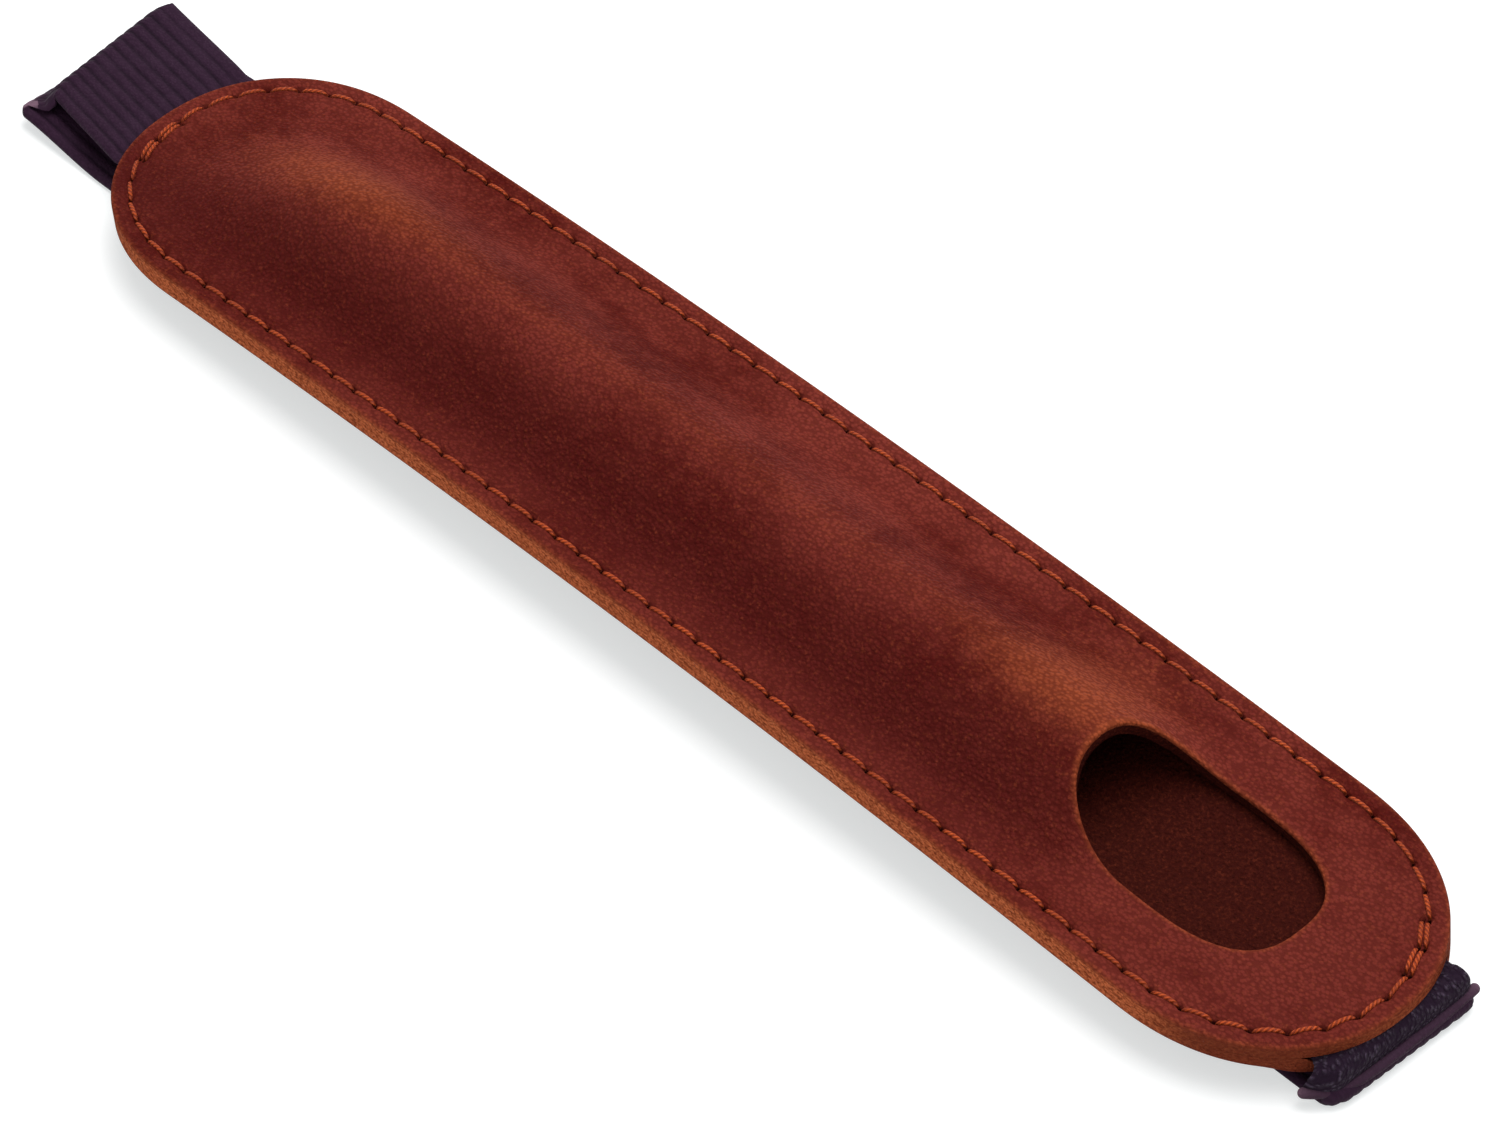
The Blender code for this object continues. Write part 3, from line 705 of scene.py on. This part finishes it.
# Back leather. A plain piece of the same leather and outline, pushed out a little along the pocket
# and at the two ends, where the strap is sewn in between. Its flesh side lines the pocket.
POCKET_FLOOR = 0.4 * MM
STRAP_HALF = 10.25 * MM
TAB_DROP = 0.85 * MM
TAB_LENGTH = 10.0 * MM
TAB_RAMP = 4.0 * MM
TAB_SIDE_RAMP = 0.8 * MM
UNDER_SIDE_RAMP = 4.0 * MM
TOP_TAB_SHIFT = 1.7 * MM
BOTTOM_TAB_SHIFT = -0.5 * MM
BOTTOM_TAB_SQUEEZE = 0.93
GLUE_GAP = 0.04 * MM
BACK_DYE = ((0.064, 0.0055, 0.0044), (0.115, 0.0145, 0.0105), (0.24, 0.050, 0.020))


def pushed_out(x, y, side_ramp):
    """Height of a face of the back leather that goes down round the pocket and the strap's tabs."""
    trough = np.maximum(0.0, arch(x) - POCKET_FLOOR) * bell(y)
    shift = np.where(x > 0, BOTTOM_TAB_SHIFT, TOP_TAB_SHIFT)
    half = np.where(x > 0, STRAP_HALF * BOTTOM_TAB_SQUEEZE, STRAP_HALF)
    along = eased((np.abs(x) - HALF_LENGTH + TAB_LENGTH + TAB_RAMP) / TAB_RAMP)
    across = 1 - eased((np.abs(y - shift) - half) / side_ramp)
    return SEAM_LEVEL + arch(x) - GLUE_GAP - trough - TAB_DROP * along * across


def back_top(x, y):
    """The flesh side, which meets the front leather and the tabs."""
    return pushed_out(x, y, TAB_SIDE_RAMP)


def back_under(x, y):
    """The grain side, where the step beside each tab is spread out by the leather's thickness."""
    return thickened(lambda x, y: pushed_out(x, y, UNDER_SIDE_RAMP), x, y, -LEATHER)


def upside_down(height):
    """The same face mirrored in the table, so that the grain side lies on top."""
    return lambda x, y: -height(x, y)


back_leather = leather_shell("back_leather", upside_down(back_top), upside_down(back_under), False,
                             leather_finish("back_leather", BACK_DYE))
back_leather.scale.z = -1
bpy.context.view_layer.objects.active = back_leather
back_leather.select_set(True)
bpy.ops.object.transform_apply(location=False, rotation=False, scale=True)
closed_up(back_leather)
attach(back_leather, "sleeve")
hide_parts("back_panel")


# Stitches. Waxed orange-brown twisted thread, sewn by machine through both leathers. Each stitch is
# one short strand that dives into its slanted holes, and both faces have the same row. Its profile
# gives the share of its length, the height and the radius of each ring, the last two in millimetres.
STITCH_PROFILE = ((0.06, -0.60, 0.18), (0.13, -0.28, 0.22), (0.23, -0.09, 0.25), (0.39, 0.00, 0.27),
                  (0.61, 0.00, 0.27), (0.77, -0.09, 0.25), (0.87, -0.28, 0.22), (0.94, -0.60, 0.18))
STITCH_SIDES = 8
STITCH_FLATNESS = 0.88
STITCH_SWAY = 0.13 * MM
STITCH_SMOOTH_ANGLE = 60
TWIST_LENGTH = 0.62 * MM
TWIST_PLIES = 2
TWIST_DEPTH = 0.06 * MM
FLUFF_SIZE = 0.25 * MM
WEAR_SIZE = 6 * MM
# Painted light on the plies and painted shade in the twist's grooves.
THREAD_GROOVE_SHADE = (0.20, 0.024, 0.006)
THREAD_PLY_LIGHT = (0.50, 0.078, 0.016)
THREAD_WORN = (0.19, 0.025, 0.007)
THREAD_FLUFF = (0.52, 0.13, 0.035)
# Painted shade on the thread's ends where they go into the holes.
THREAD_HOLE_SHADE = (0.06, 0.007, 0.003)

thread_finish = Finish("thread")
twist = thread_finish.mask("along") * (math.tau / TWIST_LENGTH)
twist = twist + thread_finish.mask("across") * (TWIST_PLIES * math.tau)
ply = thread_finish.node("ShaderNodeMath", {0: twist}, operation="SINE")
fluff = thread_finish.cloud(thread_finish.place(), FLUFF_SIZE, 4.0, 0.7)
worn_thread = thread_finish.cloud(thread_finish.place(), WEAR_SIZE, 2.0)
# Painted shade on the thread's ends, where they go down into the holes.
from_middle = thread_finish.mask("along") - STITCH_PITCH / 2
thread_hole_shade = (from_middle * from_middle * (1 / STITCH_PITCH ** 2)).between(0.09, 0.19)
# Painted light on the plies and painted shade in the twist's grooves.
thread_colour = thread_finish.blend(ply.between(-0.8, 0.7), THREAD_GROOVE_SHADE, THREAD_PLY_LIGHT)
thread_colour = thread_finish.blend(worn_thread.between(0.35, 0.65) * 0.5, thread_colour, THREAD_WORN)
thread_colour = thread_finish.blend(fluff.between(0.5, 0.8) * 0.3, thread_colour, THREAD_FLUFF)
thread_finish.set("Base Color", thread_finish.blend(thread_hole_shade * 0.55, thread_colour, THREAD_HOLE_SHADE))
thread_finish.set("Roughness", 0.55)
thread_finish.set("Specular IOR Level", 0.15)
thread_finish.set("Normal", thread_finish.relief(ply + fluff * 0.8, TWIST_DEPTH))


def stitch_shape():
    """One stitch, drawn from its first hole at the origin along +X to the next hole."""
    turn = np.linspace(0, math.tau, STITCH_SIDES, endpoint=False)
    rings, along = [], []
    for share, height, radius in STITCH_PROFILE:
        sway = STITCH_SWAY * (2 * share - 1)
        rings.append(np.stack((np.full(STITCH_SIDES, share * STITCH_PITCH),
                               sway + radius * MM * np.cos(turn),
                               height * MM + STITCH_FLATNESS * radius * MM * np.sin(turn))))
        along.append(np.full(STITCH_SIDES, share * STITCH_PITCH))
    piece = woven("stitch", rings, thread_finish)
    marked(piece, "along", closed_rows(along))
    marked(piece, "across", np.tile(np.linspace(0, 1, STITCH_SIDES + 1), len(rings)))
    return closed_up(piece, STITCH_SMOOTH_ANGLE, filled=True)


def sewn(name, numbers, height, side, inset, node):
    """Copies of one stitch between the numbered holes, joined into one piece of thread."""
    first = stitch_shape()
    copies = []
    for number in numbers:
        ends = []
        for hole in (number, number + 1):
            place, normal = seam_at(hole, inset)
            ends.append(Vector((*place, height(*place))))
        along = (ends[1] - ends[0]).normalized()
        outward = Vector((*normal, 0.0)).cross(along).normalized() * side
        axes = Matrix((along, outward.cross(along), outward)).transposed().to_4x4()
        bpy.ops.object.select_all(action="DESELECT")
        first.select_set(True)
        bpy.context.view_layer.objects.active = first
        bpy.ops.object.duplicate()
        copies.append(bpy.context.object)
        copies[-1].matrix_world = Matrix.Translation(ends[0]) @ axes
    bpy.data.objects.remove(first)
    for copy in copies:
        copy.select_set(True)
    bpy.ops.object.join()
    row = bpy.context.object
    row.name = row.data.name = name
    bpy.ops.object.transform_apply()
    row.select_set(False)
    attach(row, "sleeve")
    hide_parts(node)


for side_name, face, side in (("needle", front_top, 1), ("bobbin", back_under, -1)):
    sewn(side_name + "_stitches", range(STITCHES), face, side, SEAM_MARGIN, side_name + "_thread")
    for end_name, first_stitch in zip(("bottom", "top"), LOCK_STARTS):
        row_name = end_name + "_" + side_name + "_lock"
        sewn(row_name + "_stitches", range(first_stitch, first_stitch + LOCK_STITCHES), face, side,
             SEAM_MARGIN + LOCK_OFFSET, row_name)


# Strap loop. The elastic strap is one length of ribbed dark webbing, sewn in between the leathers at
# both ends. Here it leaves the closed end as a long flat loop and is folded under, a little askew.
STRAP_LOW = 0.6 * MM
STRAP_RIBS = 13
RIB_RELIEF = 0.20 * MM
RIB_CROWDING = 0.06
RIB_FLATNESS = 0.7
RIB_MEAN = 0.85
PLAIN_BAND = (0.80, 0.06)
SELVAGE = 0.5 * MM
SELVAGE_THINNING = 0.85
SELVAGE_SHARE = 0.9
SELVAGE_POINTS = 5
FACE_POINTS = 105
NEAR_CORNER_START = 0.72
FAR_CORNER_START = 0.80
CORNER_LIMIT = 1.2
SMOOTH_REACH = 0.95
SMOOTH_THINNING = 0.6
STRAP_SMOOTH_ANGLE = 55

TAB_SQUEEZE = 0.60
TAB_CLEARANCE = 3 * GLUE_GAP
TAB_STEP = 1 * MM
TOP_STEP = 0.5 * MM
TOP_RELEASE = 2.0 * MM
TOP_FOLD = -115.9 * MM
TOP_TURN_RADIUS = 1.15 * MM
TOP_TURN_POINTS = 25
TOP_FOLD_SHIFT = 4.2 * MM
TOP_FOLD_LEAN = -1.2 * MM
LOWER_FOLD_LEAN = 1.1 * MM
LOWER_FOLD_TURN = (math.radians(75), math.radians(50))
TOP_CORNER = 1.5 * MM
TOP_CORNER_TURNS = 1.6
TOP_CREASE = (math.radians(88), 0.2, 0.55 * MM)
# Painted sheen on the fold's inner face: its turn, its spread and its strength.
FOLD_SHEEN = (math.radians(116), 0.25, 1.6)
BACK_FOLD_SHIFT = 1.0 * MM
LEG_LIFT = 1.3 * MM

# Painted shade in the grooves between the ribs and painted light on their tops.
GROOVE_SHADE = (0.0105, 0.0034, 0.0100)
RIB_TOP_LIGHT = (0.0275, 0.0100, 0.0250)
WEFT_DARK = (0.010, 0.0035, 0.010)
CLOTH_PALE = (0.034, 0.015, 0.032)
# Painted sheen: the pale satin highlight on the fold and the bead.
PAINTED_SHEEN_COLOUR = (0.17, 0.095, 0.135)
KNIT_DARK = (0.014, 0.0060, 0.015)
KNIT_PALE = (0.080, 0.054, 0.088)
WEFT_SIZE = 0.33 * MM
WEFT_DEPTH = 0.05 * MM
LOOP_SIZE = 0.48 * MM
TUFT_SIZE = 0.40 * MM
TUFT_DEPTH = 0.25 * MM
CLOTH_SIZE = 3.5 * MM

# Painted light and shade: the ribs' tops and selvages are painted lighter and the grooves between them
# darker.
elastic_finish = Finish("elastic")
rib_shade_and_sheen, knit = elastic_finish.mask("rib_shade_and_sheen"), elastic_finish.mask("knit")
weft = elastic_finish.cells(elastic_finish.along_piece(0.7), WEFT_SIZE)
loops = elastic_finish.cells(elastic_finish.along_piece(), LOOP_SIZE)
tufts = elastic_finish.cloud(elastic_finish.along_piece(0.8), TUFT_SIZE, 3.0, 0.7)
flecks = (1 - loops.between(0.05, 0.60)) * tufts.between(0.38, 0.56)
cloth = elastic_finish.cloud(elastic_finish.along_piece(), CLOTH_SIZE, 3.0)
elastic_colour = elastic_finish.blend(rib_shade_and_sheen.between(0.1, 1.0), GROOVE_SHADE, RIB_TOP_LIGHT)
elastic_colour = elastic_finish.blend(weft.between(0.2, 0.8) * 0.35, elastic_colour, WEFT_DARK)
elastic_colour = elastic_finish.blend(cloth.between(0.4, 0.7) * 0.3, elastic_colour, CLOTH_PALE)
# Painted sheen where the share goes over 1.
elastic_colour = elastic_finish.blend(rib_shade_and_sheen.between(1.0, 2.0), elastic_colour, PAINTED_SHEEN_COLOUR)
knit_colour = elastic_finish.blend(flecks, KNIT_DARK, KNIT_PALE)
elastic_finish.set("Base Color", elastic_finish.blend(knit, elastic_colour, knit_colour))
elastic_finish.set("Roughness", 0.62 + 0.15 * weft)
elastic_finish.set("Specular IOR Level", 0.06)
elastic_finish.set("Sheen Weight", 0.03)
elastic_finish.set("Sheen Roughness", 0.4)
weave_relief = elastic_finish.relief(1 - weft.between(0.1, 0.8), WEFT_DEPTH)
elastic_finish.set("Normal", elastic_finish.relief(knit * (flecks - loops), TUFT_DEPTH, weave_relief))


def ribs(across):
    """Height share of the webbing's face: rounded ribs, and a plain band along one selvage."""
    spread = across + RIB_CROWDING * (1 - across ** 2)
    wave = np.abs(np.sin(math.pi * STRAP_RIBS * (spread + 1) / 2)) ** RIB_FLATNESS
    plain = eased((across - PLAIN_BAND[0]) / PLAIN_BAND[1])
    return wave * (1 - plain) + RIB_MEAN * plain


def webbing_section():
    """The closed cross-section: places across, heights over the middle plane, and the ribs' height shares
    that also set their painted light and shade.
    """
    face = np.linspace(-1, 1, FACE_POINTS) * (STRAP_HALF - SELVAGE)
    turn = np.linspace(-math.pi / 2, math.pi / 2, SELVAGE_POINTS + 2)[1:-1]
    face_share = ribs(face / STRAP_HALF)
    relief = STRAP_LOW - RIB_RELIEF * (1 - face_share)
    relief = relief * np.minimum(1.0, (STRAP_HALF - SELVAGE - np.abs(face)) / SELVAGE + SELVAGE_THINNING)
    across = np.concatenate((face, STRAP_HALF - SELVAGE + SELVAGE * np.cos(turn), face[::-1],
                             SELVAGE - STRAP_HALF - SELVAGE * np.cos(turn)))
    through = np.concatenate((-relief, SELVAGE * np.sin(turn), relief[::-1], -SELVAGE * np.sin(turn)))
    edge = np.full(SELVAGE_POINTS, SELVAGE_SHARE)
    return across, through, np.concatenate((face_share, edge, face_share[::-1], edge))


def webbing(name, path, lean=0.0, near_corner=0.0, far_corner=0.0, smooth=0.0, knitted=0.0, painted_sheen=0.0,
            width=1.0, thick=1.0):
    """A length of elastic swept along rows of (x, z, middle y), with its ends closed."""
    count = len(path)
    lean, near_corner, far_corner, smooth, knitted, painted_sheen, width, thick = (
        np.broadcast_to(given, count)
        for given in (lean, near_corner, far_corner, smooth, knitted, painted_sheen, width, thick))
    x, z, middle = path.T
    along_x, along_z = np.gradient(x), np.gradient(z)
    length = np.hypot(along_x, along_z)
    out_x, out_z = along_z / length, -along_x / length
    across, through, share = webbing_section()
    spread = across / STRAP_HALF
    near = np.clip((-spread - NEAR_CORNER_START) / (1 - NEAR_CORNER_START), 0, CORNER_LIMIT) ** 2
    far = np.clip((spread - FAR_CORNER_START) / (1 - FAR_CORNER_START), 0, CORNER_LIMIT) ** 2
    # The near half of the section takes the painted sheen.
    sheen_side = np.clip(-2 * spread - 1, 0, 1)
    flat = STRAP_LOW * np.sign(through) * np.minimum(1.0, np.abs(through) / (SMOOTH_THINNING * STRAP_LOW))
    flattening = (flat - through) * (np.abs(spread) < SMOOTH_REACH)
    rings, shade_and_sheen_rows, knit_rows = [], [], []
    for step in range(count):
        lifted = (through + flattening * smooth[step]) * thick[step]
        pushed = lean[step] * spread - near_corner[step] * near - far_corner[step] * far
        rings.append(np.stack((x[step] + out_x[step] * lifted + pushed,
                               middle[step] + across * width[step],
                               z[step] + out_z[step] * lifted)))
        shade_and_sheen_rows.append(share + (RIB_MEAN - share) * smooth[step] + painted_sheen[step] * sheen_side)
        knit_rows.append(np.full(len(share), knitted[step]))
    piece = woven(name, rings, elastic_finish)
    marked(piece, "rib_shade_and_sheen", closed_rows(shade_and_sheen_rows))
    marked(piece, "knit", closed_rows(knit_rows))
    marked(piece, "across", closed_rows([across] * count))
    marked(piece, "along", np.repeat(reach_along(np.stack((x, z))), len(across) + 1))
    return closed_up(piece, STRAP_SMOOTH_ANGLE, filled=True)


def tab_height(x):
    """Middle of the webbing where the seam squeezes it thin between the leathers."""
    return SEAM_LEVEL + arch(x) - TAB_CLEARANCE - STRAP_LOW * TAB_SQUEEZE


def middle_line(x, z, middle):
    """Rows of (x, z, middle y), from lists or single values."""
    return np.stack(np.broadcast_arrays(x, z, middle), axis=1).astype(float)


def spaced(first, last, step):
    """Even places from first to last, about one step apart."""
    return np.linspace(first, last, max(2, round(abs(last - first) / step) + 1))


def closed_end_loop():
    """Tab, upper strand and fold at the closed end."""
    leg_height = STRAP_LOW + LEG_LIFT
    crown = leg_height + 2 * TOP_TURN_RADIUS
    tab_x = spaced(-HALF_LENGTH + TAB_LENGTH, -HALF_LENGTH, TAB_STEP)
    tab = middle_line(tab_x, tab_height(tab_x), TOP_TAB_SHIFT)
    strand_x = spaced(-HALF_LENGTH, TOP_FOLD, TOP_STEP)[1:]
    share = (strand_x + HALF_LENGTH) / (TOP_FOLD + HALF_LENGTH)
    strand = middle_line(strand_x, tab[-1, 1] + (crown - tab[-1, 1]) * eased(share),
                         TOP_TAB_SHIFT + (TOP_FOLD_SHIFT - TOP_TAB_SHIFT) * share)
    turn = np.linspace(0, math.pi, TOP_TURN_POINTS)[1:]
    fold = middle_line(TOP_FOLD - TOP_TURN_RADIUS * np.sin(turn),
                       leg_height + TOP_TURN_RADIUS + TOP_TURN_RADIUS * np.cos(turn),
                       TOP_FOLD_SHIFT + (BACK_FOLD_SHIFT - TOP_FOLD_SHIFT) * eased(turn / math.pi))
    path = np.concatenate((tab, strand, fold))
    lower = eased((turn - LOWER_FOLD_TURN[0]) / LOWER_FOLD_TURN[1])
    fold_lean = TOP_FOLD_LEAN + (LOWER_FOLD_LEAN - TOP_FOLD_LEAN) * lower
    crease = TOP_CREASE[2] * hump(turn - TOP_CREASE[0], TOP_CREASE[1])
    fold_corner = -TOP_CORNER * np.maximum(0, np.sin(TOP_CORNER_TURNS * turn)) - crease
    fold_sheen = FOLD_SHEEN[2] * hump(turn - FOLD_SHEEN[0], FOLD_SHEEN[1])
    unfolded = np.zeros(len(tab) + len(strand))
    corner = np.concatenate((unfolded, fold_corner))
    released = eased((-HALF_LENGTH - path[:, 0]) / TOP_RELEASE)
    return webbing("strap_loop", path, np.concatenate((np.zeros(len(tab)), TOP_FOLD_LEAN * share, fold_lean)),
                   corner, corner, painted_sheen=np.concatenate((unfolded, fold_sheen)),
                   thick=TAB_SQUEEZE + (1 - TAB_SQUEEZE) * released)


strap_loop = closed_end_loop()
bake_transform(strap_loop)
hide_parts("strap_top_end")


# Back strand. The stretch of the strap behind the sleeve, lying flat on the table, with the short
# leg that comes down to it from the loop's fold. A cover's edge goes between it and the leather.
LEG_LENGTH = 13.0 * MM
LEG_STEP = 0.8 * MM
STRAND_STEP = 3 * MM
BOTTOM_LEG = 5.0 * MM
BACK_TOP_SHIFT = 0.7 * MM
BACK_BOTTOM_SHIFT = -0.8 * MM

leg_x = spaced(TOP_FOLD, TOP_FOLD + LEG_LENGTH, LEG_STEP)
leg_share = (leg_x - TOP_FOLD) / LEG_LENGTH
leg = middle_line(leg_x, STRAP_LOW + LEG_LIFT * (1 - eased(leg_share)),
                  BACK_FOLD_SHIFT + (BACK_TOP_SHIFT - BACK_FOLD_SHIFT) * leg_share)
strand_x = spaced(TOP_FOLD + LEG_LENGTH, HALF_LENGTH - BOTTOM_LEG, STRAND_STEP)[1:]
strand_share = (strand_x - strand_x[0]) / (strand_x[-1] - strand_x[0])
strand_shift = BACK_TOP_SHIFT + (BACK_BOTTOM_SHIFT - BACK_TOP_SHIFT) * strand_share
strand = middle_line(strand_x, STRAP_LOW, strand_shift)
back_strand = webbing("strap_back_strand_webbing", np.concatenate((leg, strand)),
                      np.concatenate((LOWER_FOLD_LEAN * (1 - leg_share), np.zeros(len(strand)))))
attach(back_strand, "strap")
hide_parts("strap_back_strand")


# Strap fold. Under the window end the webbing turns back on itself in a tight smooth roll, with its
# end tucked in behind. The knitted tab comes down to it from between the leathers.
ROLL_CENTRE = (100.2 * MM, 1.3 * MM)
ROLL_RADIUS = 0.7 * MM
ROLL_POINTS = 31
ROLL_LEAN = 0.4 * MM
ROLL_NEAR_CORNER = 1.1 * MM
ROLL_FAR_CORNER = 0.4 * MM
ROLL_SMOOTH_TURN = (0.6, 1.3)
LOWER_STEP = 0.5 * MM
TUCK_LENGTH = 1.5 * MM
TUCK_STEP = 0.3 * MM


def held_at_window_end(piece):
    """A piece of the wall between the leather and the strand below, baked in place, on neither body, with the
    CAD strap end hidden.
    """
    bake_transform(piece)
    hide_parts("strap_bottom_end")


lower_x = spaced(HALF_LENGTH - BOTTOM_LEG, ROLL_CENTRE[0], LOWER_STEP)
lower_share = (lower_x - lower_x[0]) / (lower_x[-1] - lower_x[0])
lower = middle_line(lower_x, STRAP_LOW, BACK_BOTTOM_SHIFT)
roll_turn = np.linspace(0, math.pi, ROLL_POINTS)[1:]
roll = middle_line(ROLL_CENTRE[0] + ROLL_RADIUS * np.sin(roll_turn),
                   ROLL_CENTRE[1] - ROLL_RADIUS * np.cos(roll_turn), BACK_BOTTOM_SHIFT)
tucked_x = spaced(ROLL_CENTRE[0], ROLL_CENTRE[0] - TUCK_LENGTH, TUCK_STEP)[1:]
tucked = middle_line(tucked_x, ROLL_CENTRE[1] + ROLL_RADIUS, BACK_BOTTOM_SHIFT)
rolled = np.concatenate((eased(lower_share), np.ones(len(roll) + len(tucked))))
roll_smooth = eased((roll_turn - ROLL_SMOOTH_TURN[0]) / ROLL_SMOOTH_TURN[1])
strap_fold = webbing("strap_fold", np.concatenate((lower, roll, tucked)), ROLL_LEAN * rolled,
                     ROLL_NEAR_CORNER * rolled, ROLL_FAR_CORNER * rolled,
                     np.concatenate((np.zeros(len(lower)), roll_smooth, np.ones(len(tucked)))))
held_at_window_end(strap_fold)


# Strap tab. The knitted inner side of the strap's sewn-in end shows where it comes out between the
# leathers at the window end, bends down over the back leather and is tucked behind the roll.
BEND_X = 99.0 * MM
BEND_RADIUS = 1.15 * MM
BEND_POINTS = 13
BOTTOM_STEP = 0.5 * MM
DROP_STEP = 0.2 * MM
TUCK_HEIGHT = 2.1 * MM
BOTTOM_BEND_SHIFT = -0.9 * MM
BOTTOM_TUCK_SHIFT = -1.1 * MM
TAB_NEAR_CORNER = 2.4 * MM
TAB_SHAPED = 96.0 * MM
TAB_SHAPE_SHARES = (0.55, 0.8)
TAB_RELEASE = 98.4 * MM
TAB_RELEASE_SHARE = 0.4
TAB_FLARE = 0.06
TAB_FLARE_SHARE = 0.7

tab_x = spaced(HALF_LENGTH - TAB_LENGTH, BEND_X, BOTTOM_STEP)
tab = middle_line(tab_x, tab_height(tab_x), BOTTOM_TAB_SHIFT)
bend_turn = np.linspace(0, math.pi / 2, BEND_POINTS)[1:]
bend_height = tab_height(BEND_X)
bend = middle_line(BEND_X + BEND_RADIUS * np.sin(bend_turn),
                   bend_height - BEND_RADIUS * (1 - np.cos(bend_turn)),
                   np.linspace(BOTTOM_TAB_SHIFT, BOTTOM_BEND_SHIFT, len(bend_turn)))
drop_z = spaced(bend_height - BEND_RADIUS, TUCK_HEIGHT, DROP_STEP)[1:]
drop = middle_line(BEND_X + BEND_RADIUS, drop_z,
                   np.linspace(BOTTOM_BEND_SHIFT, BOTTOM_TUCK_SHIFT, len(drop_z)))
flare = np.concatenate((np.zeros(len(tab)), np.linspace(0, TAB_FLARE_SHARE, len(bend)),
                        np.linspace(TAB_FLARE_SHARE, 1, len(drop))))
shaped = np.concatenate((TAB_SHAPE_SHARES[0] * eased((tab_x - TAB_SHAPED) / (BEND_X - TAB_SHAPED)),
                         np.linspace(*TAB_SHAPE_SHARES, len(bend)),
                         np.linspace(TAB_SHAPE_SHARES[1], 1, len(drop))))
released = np.concatenate((TAB_RELEASE_SHARE * eased((tab_x - TAB_RELEASE) / (BEND_X - TAB_RELEASE)),
                           np.linspace(TAB_RELEASE_SHARE, 1.0, len(bend)), np.ones(len(drop))))
tab_width = BOTTOM_TAB_SQUEEZE + (1 - BOTTOM_TAB_SQUEEZE) * released + TAB_FLARE * flare
tab_thick = TAB_SQUEEZE + (1 - TAB_SQUEEZE) * released
strap_tab = webbing("strap_tab", np.concatenate((tab, bend, drop))[::-1], ROLL_LEAN * shaped[::-1],
                    TAB_NEAR_CORNER * shaped[::-1], ROLL_FAR_CORNER * shaped[::-1], smooth=1.0,
                    knitted=1.0, width=tab_width[::-1], thick=tab_thick[::-1])
held_at_window_end(strap_tab)


# Strap bead. The smooth edge of the turned-back strap lies along the roll's upper shoulder, and
# stands out past each selvage as a round lobe. Its line is given in millimetres, near end first.
BEAD_LINE = ((97.7, -12.1, 1.95), (98.8, -11.2, 1.95), (99.9, -9.6, 1.95), (100.65, -7.0, 1.98),
             (100.95, -3.0, 2.0), (101.0, 3.0, 2.0), (101.0, 7.0, 2.05), (100.9, 9.8, 2.25))
BEAD_RADIUS = 0.62 * MM
BEAD_TIP = 0.02 * MM
BEAD_RINGS = 60
BEAD_CAP_RINGS = 6
BEAD_SMOOTHINGS = 6
BEAD_SIDES = 16
# Painted sheen on the bead, with more towards its two lobes.
BEAD_SHEEN = 1.2
LOBE_SHEEN = 0.8


def rolled_bead():
    """A round bead along its smoothed line, with a rounded cap on each end."""
    given = np.array(BEAD_LINE).T * MM
    reach = reach_along(given)
    line = np.stack([np.interp(np.linspace(0, reach[-1], BEAD_RINGS), reach, axis) for axis in given], axis=1)
    for _ in range(BEAD_SMOOTHINGS):
        line[1:-1] = (line[:-2] + 2 * line[1:-1] + line[2:]) / 4
    turn = np.linspace(0, math.pi / 2, BEAD_CAP_RINGS)
    first, last = line[0] - line[1], line[-1] - line[-2]
    first, last = first / np.linalg.norm(first), last / np.linalg.norm(last)
    start = line[0] + np.outer(BEAD_RADIUS * np.cos(turn), first)
    finish = line[-1] + np.outer(BEAD_RADIUS * np.sin(turn), last)
    centres = np.concatenate((start, line[1:-1], finish))
    radii = np.concatenate((np.sin(turn), np.ones(BEAD_RINGS - 2), np.cos(turn))) * BEAD_RADIUS
    radii = np.maximum(radii, BEAD_TIP)
    along = np.gradient(centres, axis=0)
    along /= np.linalg.norm(along, axis=1)[:, None]
    side = np.stack((along[:, 1], -along[:, 0], np.zeros(len(along))), axis=1)
    side /= np.linalg.norm(side, axis=1)[:, None]
    lift = np.cross(side, along)
    around = np.linspace(0, math.tau, BEAD_SIDES, endpoint=False)
    rings = [centre[:, None] + radius * (np.outer(out, np.cos(around)) + np.outer(up, np.sin(around)))
             for centre, radius, out, up in zip(centres, radii, side, lift)]
    piece = woven("strap_bead", rings, elastic_finish)
    # Painted sheen, strongest on the lobes.
    gloss = BEAD_SHEEN + LOBE_SHEEN * np.abs(np.linspace(-1, 1, len(rings))) ** 8
    marked(piece, "rib_shade_and_sheen", np.repeat(gloss, BEAD_SIDES + 1))
    marked(piece, "knit", np.zeros(len(rings) * (BEAD_SIDES + 1)))
    marked(piece, "across", np.repeat(centres[:, 1], BEAD_SIDES + 1))
    marked(piece, "along", np.tile(np.linspace(0, math.tau, BEAD_SIDES + 1) * BEAD_RADIUS, len(rings)))
    return closed_up(piece, STRAP_SMOOTH_ANGLE, filled=True)


strap_bead = rolled_bead()
held_at_window_end(strap_bead)
